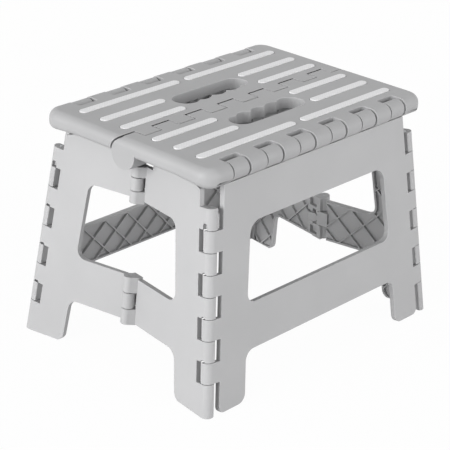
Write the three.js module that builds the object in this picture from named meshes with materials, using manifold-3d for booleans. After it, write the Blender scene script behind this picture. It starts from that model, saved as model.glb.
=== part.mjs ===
// Folding plastic step stool: a seat in two halves on two side panels and four end panel halves.
// Millimetres, +Z up. The long sides run along X and the front is at -Y.
// The origin is on the floor under the middle of the seat.
import * as THREE from 'three';
import { mergeVertices } from 'three/addons/utils/BufferGeometryUtils.js';
import Module from 'manifold-3d';

const wasm = await Module();
wasm.setup();

// Whole stool
const stepHeight = 220;
// The feet stand this far outside the seat's ends and the outer hinges
const footPastSeat = 10.65;
const footPastHinge = 24.6;
const seatOverhang = 9.8;
const panelFaceOutset = 1.67;
const endInset = THREE.MathUtils.degToRad(8.7);
const fitGap = 0.3;
const overrun = 5;

// Seat halves
const seatLength = 289;
const seatCornerRadius = 18;
const seatEdgeRadius = 8.5;
const seatSkin = 3.2;
const seatWall = 2.6;
const seatRib = 1.8;
const seatEndWall = 4.5;
const rimDepth = 15.2;
const rimSlopeEnd = 60;
const cellRows = 3;
const cellColumns = 8;

// Centre hinge of the seat
const centreKnuckleCount = 14;
const centreKnuckleRadius = 14;
const centreSideGap = 0.7;
const centreRoundGap = 0.45;
const centrePinRadius = 2.5;
const centreDiskWall = 4;

// Outer hinges between seat and side panels
const outerHingeSpan = 187;
const outerBarrelRadius = 9;
const outerSegmentCount = 11;
const outerHingeMargin = 28.83;
const outerSideGap = 0.8;
const outerRoundGap = 0.45;
const outerPinRadius = 2;
const outerPinReach = 10;

// Handle slot in each seat half
const slotLobeCount = 4;
const slotLobePitch = 20;
const slotLobeRadius = 13;
const slotLineShare = 0.3743;
const slotStraightRun = 11.5;

// Tread strips
const stripHalfWidth = 4.1;
const stripThickness = 2;
const stripProud = 0.7;
const stripEndMargin = 17.3;
const stripLongInnerTip = 4.8;
const stripShortInnerTip = 50;
const stripRowShares = [0.2053, 0.477, 0.7604];

// Side panels and end panels
const panelDepth = 5;
const panelSkin = 2.2;
const panelRim = 2.2;
const panelRib = 1.3;
const ribPitch = 28.5;
const ribPhaseShare = 0.205;
const panelTopGap = 0.5;
// The feet are drawn this far past the floor and cut off level with it
const soleTrim = 0.5;

// Side panel outline. A post is the panel's width between its side edge and the window or arch.
const sideWindowDrop = 59.7;
const sideWindowBottom = 88.1;
const sidePostAtHead = 34.35;
const sidePostAtSill = 32.95;
const sidePostAtArch = 32.85;
const sidePostAtFoot = 33.2;
const sideWindowTopRadius = 13;
const sideWindowBottomRadius = 9;
const sideArchTop = 45.6;
const sideArchRadius = 10;
const sideFootInnerRadius = 9;
const sideFootOuterRadius = 6;

// End panel outline
const endTopDrop = 19.2;
const endNotchReach = 17;
const endNotchGap = 0.8;
const endWindowDrop = 60.9;
const endWindowBottom = 86.3;
const endPostAtHead = 33.8;
const endPostAtSill = 32.7;
const endPostAtArch = 33.15;
const endPostAtFoot = 32.15;
const endWindowRadius = 9;
const endArchTop = 43.4;
const endArchRadius = 10;
const endFootRadius = 9;

// Hinge rails on the side panels
const railBarHeight = 10;
const railBarDepth = 4;

// Corner hinges
const cornerBarrelRadius = 6.1;
const cornerPinRadius = 1.4;
const cornerFootHeight = 29.8;
const cornerTopDrop = 36.6;
const cornerKnuckleCount = 8;
const cornerSideGap = 0.5;
const cornerPinFloor = 8;
const sideSetback = 9.1;
const endSetback = 6.7;

// Middle hinges of the end panels
const middleBarrelRadius = 5.8;
const middleAxisOffset = 3;
const middlePinRadius = 0.8;
const middleSideGap = 0.6;
const middleRelief = 7.4;
const middleNeckRun = 8.4;
const middleBlockReach = 4.8;
const middleSeam = 0.8;
const hingePastArch = 0.8;
const hingePastWindow = 2.3;
const upperSplitShares = [0, 0.34, 0.7, 1];
const lowerSplitShares = [0, 0.333, 0.667, 1];
const blockPocketDepth = 2.4;
const blockPocketWall = 2.2;
// The middle knuckle's bore has two round lobes, which let the pin stray as the end panels fold
const strayClearance = 0.3;
const outwardLobe = { along: 1.64, out: 1.18, reach: 2.15 };
const inwardLobe = { along: -0.27, out: -2.4, reach: 2.42 };

// Roundness of arcs, in steps
const centreBarrelSides = 20;
const barrelSides = 16;
const smallBarrelSides = 10;
const middleBarrelSides = 16;
const boreSides = 6;
const cornerSteps = 2;
const edgeSteps = 2;

// Places that follow from the sizes
const seatReach = seatLength / 2;
const hingeY = outerHingeSpan / 2;
const footLength = seatLength + 2 * footPastSeat;
const footWidth = outerHingeSpan + 2 * footPastHinge;
const hingeZ = stepHeight - outerBarrelRadius;
const seatFront = hingeY + outerBarrelRadius;
const centreAxisZ = stepHeight - centreKnuckleRadius;
const centrePitch = seatLength / centreKnuckleCount;
const rimUnderside = stepHeight - rimDepth;
const seatUnderside = stepHeight - 2 * outerBarrelRadius - overrun;
const outerRun = seatLength - 2 * outerHingeMargin;
const outerSegmentPitch = outerRun / outerSegmentCount;
const slotLobeLine = hingeY * slotLineShare;
const stripOuterTip = seatReach - stripEndMargin;
const pocketWallY = hingeY - outerBarrelRadius - outerRoundGap;
const cornerInset = cornerBarrelRadius;
const facingShare = panelFaceOutset / Math.hypot(footPastHinge, hingeZ);
const panelLean = Math.acos(facingShare) - Math.atan2(hingeZ, footPastHinge);
const floorOnFace = -(hingeZ + panelFaceOutset * Math.sin(panelLean)) / Math.cos(panelLean);
const cornerSlant = Math.atan2(footPastSeat + seatOverhang, -floorOnFace);
const panelTop = -(outerBarrelRadius + panelTopGap);
const cornerKnuckleTop = stepHeight - cornerTopDrop;
const cornerKnucklePitch = (cornerKnuckleTop - cornerFootHeight) / cornerKnuckleCount;
const sideWindowTop = stepHeight - sideWindowDrop;
const endWindowTop = stepHeight - endWindowDrop;
const endTop = stepHeight - endTopDrop;
const endNotchTop = centreAxisZ - centreKnuckleRadius - endNotchGap;
const upperHingeTop = endNotchTop;
const upperHingeBottom = endWindowTop - hingePastWindow;
const lowerHingeTop = endWindowBottom + hingePastWindow;
const lowerHingeBottom = endArchTop - hingePastArch;

// Frames: each matrix takes a point of the inner frame to the outer one
const sideFrame = new THREE.Matrix4().makeRotationX(-panelLean).setPosition(0, -hingeY, hingeZ);
const cornerFrame = new THREE.Matrix4().makeRotationY(cornerSlant).setPosition(
  cornerInset / Math.cos(cornerSlant) - footLength / 2,
  cornerInset - panelFaceOutset,
  floorOnFace,
);
const endFrame = new THREE.Matrix4().makeRotationZ(Math.PI / 2 - endInset);
const cornerInWorld = sideFrame.clone().multiply(cornerFrame);
const endInWorld = cornerInWorld.clone().multiply(endFrame);
const mirrorX = new THREE.Matrix4().makeScale(-1, 1, 1);

// Solids

function toSolid(geometry) {
  const plain = new THREE.BufferGeometry();
  plain.setAttribute('position', geometry.getAttribute('position'));
  plain.setIndex(geometry.index);
  const merged = mergeVertices(plain);
  return new wasm.Manifold(new wasm.Mesh({
    numProp: 3,
    vertProperties: new Float32Array(merged.getAttribute('position').array),
    triVerts: new Uint32Array(merged.index.array),
  }));
}

function toGeometry(solid) {
  const mesh = solid.getMesh();
  const geometry = new THREE.BufferGeometry();
  geometry.setAttribute('position', new THREE.BufferAttribute(mesh.vertProperties, 3));
  geometry.setIndex(new THREE.BufferAttribute(mesh.triVerts, 1));
  return geometry;
}

function placed(geometry, matrix) {
  const copy = geometry.clone().applyMatrix4(matrix);
  if (matrix.determinant() < 0) {
    const index = copy.index.array;
    for (let i = 0; i < index.length; i += 3) {
      [index[i], index[i + 1]] = [index[i + 1], index[i]];
    }
  }
  return copy;
}

function moved(solid, matrix) {
  return toSolid(placed(toGeometry(solid), matrix));
}

function joined(solids) {
  return solids.reduce((sum, solid) => sum.add(solid));
}

function box(x0, x1, y0, y1, z0, z1) {
  const geometry = new THREE.BoxGeometry(x1 - x0, y1 - y0, z1 - z0);
  geometry.translate((x0 + x1) / 2, (y0 + y1) / 2, (z0 + z1) / 2);
  return toSolid(geometry);
}

function extruded(shape, depth, steps) {
  return new THREE.ExtrudeGeometry(shape, { depth, bevelEnabled: false, curveSegments: steps });
}

// A shape drawn in Y and Z, run along X
function prismX(shape, x0, x1, steps) {
  const turn = new THREE.Matrix4().makeBasis(
    new THREE.Vector3(0, 1, 0),
    new THREE.Vector3(0, 0, 1),
    new THREE.Vector3(1, 0, 0),
  );
  return toSolid(extruded(shape, x1 - x0, steps).applyMatrix4(turn).translate(x0, 0, 0));
}

// A shape drawn in X and Z, run along Y
function prismY(shape, y0, y1, steps) {
  return toSolid(extruded(shape, y1 - y0, steps).rotateX(Math.PI / 2).translate(0, y1, 0));
}

// A shape drawn in X and Y, run along Z
function prismZ(shape, z0, z1, steps) {
  return toSolid(extruded(shape, z1 - z0, steps).translate(0, 0, z0));
}

function rodX(radius, x0, x1, y, z, sides) {
  const geometry = new THREE.CylinderGeometry(radius, radius, x1 - x0, sides);
  return toSolid(geometry.rotateZ(Math.PI / 2).translate((x0 + x1) / 2, y, z));
}

function rodZ(radius, z0, z1, x, y, sides) {
  const geometry = new THREE.CylinderGeometry(radius, radius, z1 - z0, sides);
  return toSolid(geometry.rotateX(Math.PI / 2).translate(x, y, (z0 + z1) / 2));
}

// The corner radius of a many-sided bore whose flats clear a round pin
function boreRadius(pinRadius, clearance, sides) {
  return (pinRadius + clearance) / Math.cos(Math.PI / sides);
}

// Height above the floor, as a distance along a frame's own Z axis
function alongAxis(frame, height) {
  return (height - frame.elements[14]) / frame.elements[10];
}

// Outlines

function corner(point, radius = 0) {
  return { x: point.x, y: point.y, radius };
}

// How a closed run of corners turns at each one, with the lines that meet there
function corners(outline) {
  return outline.map((here, i) => {
    const before = outline[(i + outline.length - 1) % outline.length];
    const after = outline[(i + 1) % outline.length];
    const arrive = new THREE.Vector2(here.x - before.x, here.y - before.y).normalize();
    const leave = new THREE.Vector2(after.x - here.x, after.y - here.y).normalize();
    const turn = Math.atan2(arrive.cross(leave), arrive.dot(leave));
    return { ...here, arrive, leave, turn };
  });
}

// Moves each edge of a counter-clockwise outline inward and keeps its round corners parallel
function insetOutline(outline, distance) {
  return corners(outline).map(({ x, y, radius, arrive, leave, turn }) => {
    const reach = distance / Math.cos(turn / 2);
    const inward = new THREE.Vector2(-arrive.y - leave.y, arrive.x + leave.x).normalize();
    const grown = radius - Math.sign(turn) * distance;
    return {
      x: x + inward.x * reach,
      y: y + inward.y * reach,
      radius: radius > 0 ? Math.max(grown, 0) : 0,
    };
  });
}

function drawOutline(path, outline) {
  corners(outline).forEach(({ x, y, radius, arrive, leave, turn }, i) => {
    const reach = radius * Math.tan(Math.abs(turn) / 2);
    const startX = x - arrive.x * reach;
    const startY = y - arrive.y * reach;
    if (i === 0) {
      path.moveTo(startX, startY);
    } else {
      path.lineTo(startX, startY);
    }
    if (radius > 0) {
      const side = Math.sign(turn);
      const centreX = startX - arrive.y * radius * side;
      const centreY = startY + arrive.x * radius * side;
      const from = Math.atan2(startY - centreY, startX - centreX);
      path.absarc(centreX, centreY, radius, from, from + turn, turn < 0);
    }
  });
  path.closePath();
  return path;
}

function outlineShape(outline) {
  return drawOutline(new THREE.Shape(), outline);
}

function polygonShape(points) {
  return outlineShape(points.map(([x, y]) => corner({ x, y })));
}

// Ribs of a diagonal lattice. place takes a width and a height to the panel's own face.
function diagonalRibs(place, widest, tallest, y0, y1) {
  const ribs = [];
  const length = tallest / Math.sin(Math.PI / 4) + overrun;
  for (const way of [1, -1]) {
    const first = Math.floor((way > 0 ? -widest - tallest : -widest) / ribPitch);
    const last = Math.ceil((way > 0 ? widest : widest + tallest) / ribPitch);
    for (let k = first; k <= last; k += 1) {
      const start = (k + ribPhaseShare) * ribPitch;
      const low = place(start, 0);
      const high = place(start + way * tallest, tallest);
      const rib = new THREE.BoxGeometry(panelRib, y1 - y0, length);
      rib.rotateY(Math.atan2(high.x - low.x, high.y - low.y));
      rib.translate((low.x + high.x) / 2, (y0 + y1) / 2, (low.y + high.y) / 2);
      ribs.push(toSolid(rib));
    }
  }
  return joined(ribs);
}

// Materials and meshes

function seatPlastic() {
  return new THREE.MeshStandardMaterial({ color: '#a6a6a7', roughness: 0.55, metalness: 0 });
}

function panelPlastic() {
  return new THREE.MeshStandardMaterial({ color: '#dededf', roughness: 0.5, metalness: 0 });
}

function stripRubber() {
  return new THREE.MeshStandardMaterial({ color: '#e0e0e0', roughness: 0.8, metalness: 0 });
}

function pinSteel() {
  return new THREE.MeshStandardMaterial({ color: '#b8bbbe', roughness: 0.3, metalness: 1 });
}

function piece(name, geometry, material) {
  geometry.computeVertexNormals();
  const mesh = new THREE.Mesh(geometry, material);
  mesh.name = name;
  return mesh;
}

function frameGroup(matrix) {
  const group = new THREE.Group();
  matrix.decompose(group.position, group.quaternion, group.scale);
  return group;
}

// Seat half, drawn as the front one

function seatProfile() {
  const shape = new THREE.Shape();
  shape.moveTo(-seatWall, stepHeight);
  shape.lineTo(-hingeY, stepHeight);
  shape.absarc(-hingeY, hingeZ, outerBarrelRadius, Math.PI / 2, 3 * Math.PI / 2, false);
  shape.lineTo(-rimSlopeEnd, rimUnderside);
  shape.lineTo(-seatWall, rimUnderside);
  shape.closePath();
  return shape;
}

// The seat's plan with a rounded top edge, open past the middle
function seatPlan() {
  const inner = centreKnuckleRadius + seatEdgeRadius + overrun;
  const outline = [
    corner({ x: -seatReach, y: -seatFront }, seatCornerRadius),
    corner({ x: seatReach, y: -seatFront }, seatCornerRadius),
    corner({ x: seatReach, y: inner }),
    corner({ x: -seatReach, y: inner }),
  ];
  const below = centreKnuckleRadius * 2 + overrun;
  const geometry = new THREE.ExtrudeGeometry(outlineShape(outline), {
    depth: below,
    bevelEnabled: true,
    bevelThickness: seatEdgeRadius,
    bevelSize: seatEdgeRadius,
    bevelOffset: -seatEdgeRadius,
    bevelSegments: edgeSteps,
    curveSegments: cornerSteps,
  });
  return toSolid(geometry.translate(0, 0, stepHeight - seatEdgeRadius - below));
}

// The handle slot's outline, grown outward by a margin
function slotShape(margin) {
  const radius = slotLobeRadius + margin;
  const cusp = Math.acos(slotLobePitch / 2 / radius);
  const endLobe = slotLobePitch * (slotLobeCount - 1) / 2;
  const depth = slotStraightRun + margin;
  const shape = new THREE.Shape();
  shape.moveTo(-endLobe, -slotLobeLine - depth);
  shape.lineTo(endLobe, -slotLobeLine - depth);
  shape.absellipse(endLobe, -slotLobeLine, radius, depth, -Math.PI / 2, 0, false);
  for (let i = 0; i < slotLobeCount; i += 1) {
    const from = i === 0 ? 0 : cusp;
    const to = i === slotLobeCount - 1 ? Math.PI : Math.PI - cusp;
    shape.absarc(endLobe - i * slotLobePitch, -slotLobeLine, radius, from, to, false);
  }
  shape.absellipse(-endLobe, -slotLobeLine, radius, depth, Math.PI, 3 * Math.PI / 2, false);
  return shape;
}

// Strip places: inner tip and row, both from the middle
const stripRows = [stripShortInnerTip, stripShortInnerTip, stripLongInnerTip].map(
  (innerTip, i) => [innerTip, hingeY * stripRowShares[i]],
);

function stripShape(innerTip, margin) {
  const radius = stripHalfWidth + margin;
  const shape = new THREE.Shape();
  shape.absarc(innerTip + stripHalfWidth, 0, radius, Math.PI / 2, 3 * Math.PI / 2, false);
  shape.absarc(stripOuterTip - stripHalfWidth, 0, radius, -Math.PI / 2, Math.PI / 2, false);
  shape.closePath();
  return shape;
}

function stripSolid(innerTip, row, hand, margin, z0, z1) {
  const solid = prismZ(stripShape(innerTip, margin), z0, z1, cornerSteps);
  const place = new THREE.Matrix4().makeTranslation(0, -row, 0);
  return moved(solid, hand < 0 ? place.multiply(mirrorX) : place);
}

// Open cells under the seat, between the rim, the ribs and the handle slot's collar
function seatCells() {
  const roof = stepHeight - seatSkin;
  const front = pocketWallY - seatWall;
  const back = centreKnuckleRadius + centreRoundGap + seatWall;
  const side = seatReach - seatEndWall;
  const low = seatUnderside - overrun;
  const half = seatRib / 2;
  const ribs = [prismZ(slotShape(seatWall), low, stepHeight, cornerSteps)];
  for (let i = 1; i < cellColumns; i += 1) {
    const x = -side + 2 * side * i / cellColumns;
    ribs.push(box(x - half, x + half, -front - overrun, -back + overrun, low, stepHeight));
  }
  for (let j = 1; j < cellRows; j += 1) {
    const y = -front + (front - back) * j / cellRows;
    ribs.push(box(-side - overrun, side + overrun, y - half, y + half, low, stepHeight));
  }
  return box(-side, side, -front, -back, seatUnderside, roof).subtract(joined(ribs));
}

function centreKnuckleEnds(index, margin) {
  const start = -seatReach + index * centrePitch;
  return [start + centreSideGap / 2 - margin, start + centrePitch - centreSideGap / 2 + margin];
}

function outerSegmentEnds(index, margin) {
  const start = -outerRun / 2 + index * outerSegmentPitch;
  return [start + outerSideGap / 2 - margin, start + outerSegmentPitch - outerSideGap / 2 + margin];
}

function seatHalf() {
  let solid = prismX(seatProfile(), -seatReach, seatReach, barrelSides / 4);
  solid = solid.subtract(seatCells());
  const reliefRadius = centreKnuckleRadius + centreRoundGap;
  for (let i = 0; i < centreKnuckleCount; i += 1) {
    if (i % 2 === 0) {
      const [from, to] = centreKnuckleEnds(i, 0);
      const start = i === 0 ? -seatReach : from;
      solid = solid.add(rodX(centreKnuckleRadius, start, to, 0, centreAxisZ, centreBarrelSides));
    } else {
      const [from, to] = centreKnuckleEnds(i, centreSideGap);
      const end = i === centreKnuckleCount - 1 ? seatReach + overrun : to;
      solid = solid.subtract(rodX(reliefRadius, from, end, 0, centreAxisZ, centreBarrelSides));
    }
  }
  solid = solid.intersect(seatPlan());
  for (let i = 0; i < outerSegmentCount; i += 2) {
    const [from, to] = outerSegmentEnds(i, outerSideGap);
    solid = solid.subtract(box(
      from, to, -seatFront - overrun, -pocketWallY, seatUnderside, stepHeight + overrun,
    ));
  }
  solid = solid.subtract(prismZ(slotShape(0), seatUnderside, stepHeight + overrun, cornerSteps));
  const recessFloor = stepHeight + stripProud - stripThickness - fitGap;
  for (const [innerTip, row] of stripRows) {
    for (const hand of [1, -1]) {
      solid = solid.subtract(stripSolid(innerTip, row, hand, fitGap, recessFloor, stepHeight + overrun));
    }
  }
  const pinReach = outerRun / 2 + outerPinReach + fitGap;
  const outerRadius = boreRadius(outerPinRadius, fitGap, boreSides);
  const outerBore = rodX(outerRadius, -pinReach, pinReach, -hingeY, hingeZ, boreSides);
  const centreRadius = boreRadius(centrePinRadius, fitGap, boreSides);
  const centreStart = centreDiskWall - seatReach;
  const centreBore = rodX(centreRadius, centreStart, seatReach + overrun, 0, centreAxisZ, boreSides);
  return solid.subtract(outerBore).subtract(centreBore);
}

// Side panel and hinge rail, in the side frame: origin on the outer hinge axis, Z up the panel

function onSideFace(width, height) {
  const rise = (height - hingeZ - panelFaceOutset * Math.sin(panelLean)) / Math.cos(panelLean);
  return new THREE.Vector2(width, rise);
}

// Where the panel's slanting side edge lies at a given place up the panel
function sideEdge(rise) {
  const setback = (cornerInset + sideSetback) / Math.cos(cornerSlant);
  return footLength / 2 - setback - (rise - floorOnFace) * Math.tan(cornerSlant);
}

// A corner of the outline at a height, one post's width in from the side edge
function sidePostCorner(post, height, radius) {
  const rise = onSideFace(0, height).y;
  return corner({ x: sideEdge(rise) - post, y: rise }, radius);
}

function sideOutline() {
  const half = [
    sidePostCorner(sidePostAtArch, sideArchTop, sideArchRadius),
    sidePostCorner(sidePostAtFoot, -soleTrim, sideFootInnerRadius),
    sidePostCorner(0, -soleTrim, sideFootOuterRadius),
    corner({ x: sideEdge(panelTop), y: panelTop }),
  ];
  return half.concat(half.map((point) => ({ ...point, x: -point.x })).reverse());
}

function sideWindow() {
  const top = sidePostCorner(sidePostAtHead, sideWindowTop, sideWindowTopRadius);
  const bottom = sidePostCorner(sidePostAtSill, sideWindowBottom, sideWindowBottomRadius);
  return [{ ...bottom, x: -bottom.x }, bottom, top, { ...top, x: -top.x }];
}

const railBottom = panelTop - railBarHeight;
const railFace = panelSkin - panelFaceOutset + fitGap;

function sideRecess() {
  const inner = insetOutline(sideOutline(), panelRim);
  const lowered = railBottom - fitGap - panelRim;
  const reach = sideEdge(lowered) - panelRim;
  const outline = inner.map((point) => (
    point.y > lowered ? { ...point, x: Math.sign(point.x) * reach, y: lowered } : point
  ));
  const from = panelSkin - panelFaceOutset;
  const to = panelDepth - panelFaceOutset + overrun;
  const field = prismY(outlineShape(outline), from, to, cornerSteps);
  const frame = prismY(outlineShape(insetOutline(sideWindow(), -panelRim)), from, to, cornerSteps);
  const ribs = diagonalRibs(onSideFace, footLength / 2, stepHeight, from - overrun, to + overrun);
  return field.subtract(frame).subtract(ribs);
}

function cornerKnuckleEnds(index) {
  const low = index < 0 ? -overrun : cornerFootHeight + index * cornerKnucklePitch + cornerSideGap / 2;
  const high = cornerFootHeight + (index + 1) * cornerKnucklePitch - cornerSideGap / 2;
  return [alongAxis(cornerInWorld, low), alongAxis(cornerInWorld, high)];
}

// One knuckle of a corner hinge with the web to its panel
function cornerKnuckle(index, webLength, faceY, backY) {
  const [low, high] = cornerKnuckleEnds(index);
  const web = box(0, webLength, Math.min(faceY, backY), Math.max(faceY, backY), low, high);
  return rodZ(cornerBarrelRadius, low, high, 0, 0, smallBarrelSides).add(web);
}

function cornerBore() {
  const low = alongAxis(cornerInWorld, cornerPinFloor) - fitGap;
  const high = alongAxis(cornerInWorld, cornerKnuckleTop) + overrun;
  return rodZ(boreRadius(cornerPinRadius, fitGap, boreSides), low, high, 0, 0, boreSides);
}

function floorBlock(frame) {
  const reach = footLength;
  const slab = box(-reach, reach, -reach, reach, -stepHeight, 0);
  return moved(slab, frame.clone().invert());
}

function sidePanel() {
  const front = -panelFaceOutset;
  const back = panelDepth - panelFaceOutset;
  const shape = outlineShape(sideOutline());
  shape.holes.push(drawOutline(new THREE.Path(), sideWindow()));
  let solid = prismY(shape, front, back, cornerSteps).subtract(sideRecess());
  const rebate = outerRun / 2 + fitGap;
  solid = solid.subtract(box(
    -rebate, rebate, panelSkin - panelFaceOutset, back + overrun, railBottom - fitGap, panelTop + overrun,
  ));
  const knuckles = [];
  for (let i = 0; i < cornerKnuckleCount; i += 2) {
    knuckles.push(cornerKnuckle(i, sideSetback + panelRim / 2, -cornerInset, panelDepth - cornerInset));
  }
  const hinge = joined(knuckles).subtract(cornerBore());
  for (const hand of [1, -1]) {
    const frame = hand > 0 ? cornerFrame : mirrorX.clone().multiply(cornerFrame);
    solid = solid.add(moved(hinge, frame));
  }
  return solid.subtract(floorBlock(sideFrame));
}

function hingeRail() {
  const bar = box(-outerRun / 2, outerRun / 2, railFace, railFace + railBarDepth, railBottom, panelTop);
  const knuckles = [bar];
  for (let i = 0; i < outerSegmentCount; i += 2) {
    const [from, to] = outerSegmentEnds(i, 0);
    knuckles.push(rodX(outerBarrelRadius, from, to, 0, 0, barrelSides));
    knuckles.push(box(from, to, railFace, railFace + railBarDepth, panelTop - panelRim, 0));
  }
  const bore = rodX(boreRadius(outerPinRadius, fitGap, boreSides), -outerRun, outerRun, 0, 0, boreSides);
  return joined(knuckles).subtract(bore);
}

// End panel half, in the end frame: origin on the corner axis, X toward the middle, Y outward

// The place on a plane parallel to the panel, from a distance to the middle and a height
function onEndPlane(fromMiddle, height, planeY) {
  const m = endInWorld.elements;
  const y = -fromMiddle - m[5] * planeY - m[13];
  const z = height - m[6] * planeY - m[14];
  const scale = m[1] * m[10] - m[9] * m[2];
  return new THREE.Vector2((y * m[10] - z * m[9]) / scale, (z * m[1] - y * m[2]) / scale);
}

function onEndFace(fromMiddle, height) {
  return onEndPlane(fromMiddle, height, cornerInset);
}

// The middle hinge's axis stands outside the outer face, in the plane between the two halves
function middleHingeFrame() {
  const planeY = cornerInset + middleAxisOffset;
  const low = onEndPlane(0, 0, planeY);
  const high = onEndPlane(0, stepHeight, planeY);
  const tilt = Math.atan2(high.x - low.x, high.y - low.y);
  return new THREE.Matrix4().makeRotationY(tilt).setPosition(low.x, planeY, low.y);
}

const middleFrame = middleHingeFrame();
const middleInWorld = endInWorld.clone().multiply(middleFrame);

// A corner of the outline at a height, one post's width in from the corner edge
function endPostCorner(post, height, radius) {
  const m = endInWorld.elements;
  const x = endSetback + post;
  return corner({ x, y: (height - m[14] - m[6] * cornerInset - m[2] * x) / m[10] }, radius);
}

// The half panel's outline from its corner edge to a line near the middle, with a notch at the top
function endOutline(middle) {
  const edge = (height) => ({ x: endSetback, y: onEndFace(footWidth / 2, height).y });
  return [
    corner(edge(endTop)),
    corner(edge(-soleTrim)),
    endPostCorner(endPostAtFoot, -soleTrim, endFootRadius),
    endPostCorner(endPostAtArch, endArchTop, endArchRadius),
    corner(onEndFace(middle, endArchTop)),
    corner(onEndFace(middle, endWindowBottom)),
    endPostCorner(endPostAtSill, endWindowBottom, endWindowRadius),
    endPostCorner(endPostAtHead, endWindowTop, endWindowRadius),
    corner(onEndFace(middle, endWindowTop)),
    corner(onEndFace(middle, endNotchTop)),
    corner(onEndFace(endNotchReach, endNotchTop)),
    corner(onEndFace(endNotchReach, endTop)),
  ];
}

function endRecess() {
  const from = cornerInset - panelDepth - overrun;
  const to = cornerInset - panelSkin;
  const outline = insetOutline(endOutline(middleNeckRun), panelRim);
  const field = prismY(outlineShape(outline), from, to, cornerSteps);
  const ribs = diagonalRibs(onEndFace, footWidth / 2, stepHeight, from - overrun, to + overrun);
  return field.subtract(ribs);
}

function splits(bottom, top, shares) {
  return shares.map((share) => alongAxis(middleInWorld, bottom + (top - bottom) * share));
}

// One knuckle of a middle hinge: a barrel on a block that grows out of the panel's end
function middleKnuckle(low, high) {
  const round = middleBarrelRadius * Math.SQRT1_2;
  const back = -middleAxisOffset - panelDepth;
  const block = polygonShape([
    [-middleNeckRun, back],
    [middleBlockReach, back],
    [middleBlockReach, 0],
    [-round, round],
    [-middleNeckRun, -middleAxisOffset],
  ]);
  const pocket = box(
    -middleNeckRun + blockPocketWall, middleBlockReach - blockPocketWall,
    back - overrun, back + blockPocketDepth,
    low + blockPocketWall, high - blockPocketWall,
  );
  return rodZ(middleBarrelRadius, low, high, 0, 0, middleBarrelSides)
    .add(prismZ(block, low, high, 1))
    .subtract(pocket);
}

// The space cut from the panel at a knuckle's height, which a knuckle of either half then turns in
function knuckleRelief(low, high) {
  const back = -middleAxisOffset - panelDepth - overrun;
  return box(-middleRelief, middleNeckRun + overrun, back, middleBarrelRadius + overrun, low, high);
}

function pinBore(low, high) {
  return rodZ(boreRadius(middlePinRadius, fitGap, boreSides), low, high, 0, 0, boreSides);
}

function strayBore(low, high) {
  const lobes = [outwardLobe, inwardLobe].map(({ along, out, reach }) => {
    const radius = boreRadius(reach + middlePinRadius, strayClearance, middleBarrelSides);
    return rodZ(radius, low, high, along, out, middleBarrelSides);
  });
  return joined(lobes);
}

function middleHingeSets() {
  return [
    splits(upperHingeBottom, upperHingeTop, upperSplitShares),
    splits(lowerHingeBottom, lowerHingeTop, lowerSplitShares),
  ];
}

function endPanelHalf(carriesPins) {
  const shape = outlineShape(endOutline(0));
  let solid = prismY(shape, cornerInset - panelDepth, cornerInset, cornerSteps).subtract(endRecess());
  const reach = footLength;
  const pastMiddle = box(-reach, reach, -middleSeam / 2, reach, -reach, reach);
  solid = solid.subtract(moved(pastMiddle, endInWorld.clone().invert()));
  const halfGap = middleSideGap / 2;
  for (const levels of middleHingeSets()) {
    for (let i = 0; i < levels.length - 1; i += 1) {
      const low = levels[i];
      const high = levels[i + 1];
      solid = solid.subtract(moved(knuckleRelief(low - halfGap, high + halfGap), middleFrame));
    }
  }
  for (const levels of middleHingeSets()) {
    for (let i = carriesPins ? 0 : 1; i < levels.length - 1; i += 2) {
      const low = levels[i] + halfGap;
      const high = levels[i + 1] - halfGap;
      const blind = carriesPins && i === 0;
      const bore = carriesPins ? pinBore : strayBore;
      const start = blind ? low + blockPocketWall : low - overrun;
      const knuckle = middleKnuckle(low, high).subtract(bore(start, high + overrun));
      solid = solid.add(moved(knuckle, middleFrame));
    }
  }
  const knuckles = [];
  for (let i = -1; i < cornerKnuckleCount; i += 2) {
    knuckles.push(cornerKnuckle(i, endSetback + panelRim / 2, cornerInset, cornerInset - panelDepth));
  }
  const hinge = joined(knuckles).subtract(cornerBore());
  return solid.add(hinge).subtract(floorBlock(endInWorld));
}

// Assembly of one half of the stool. The rear half is the front one turned about the upright axis.

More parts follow.
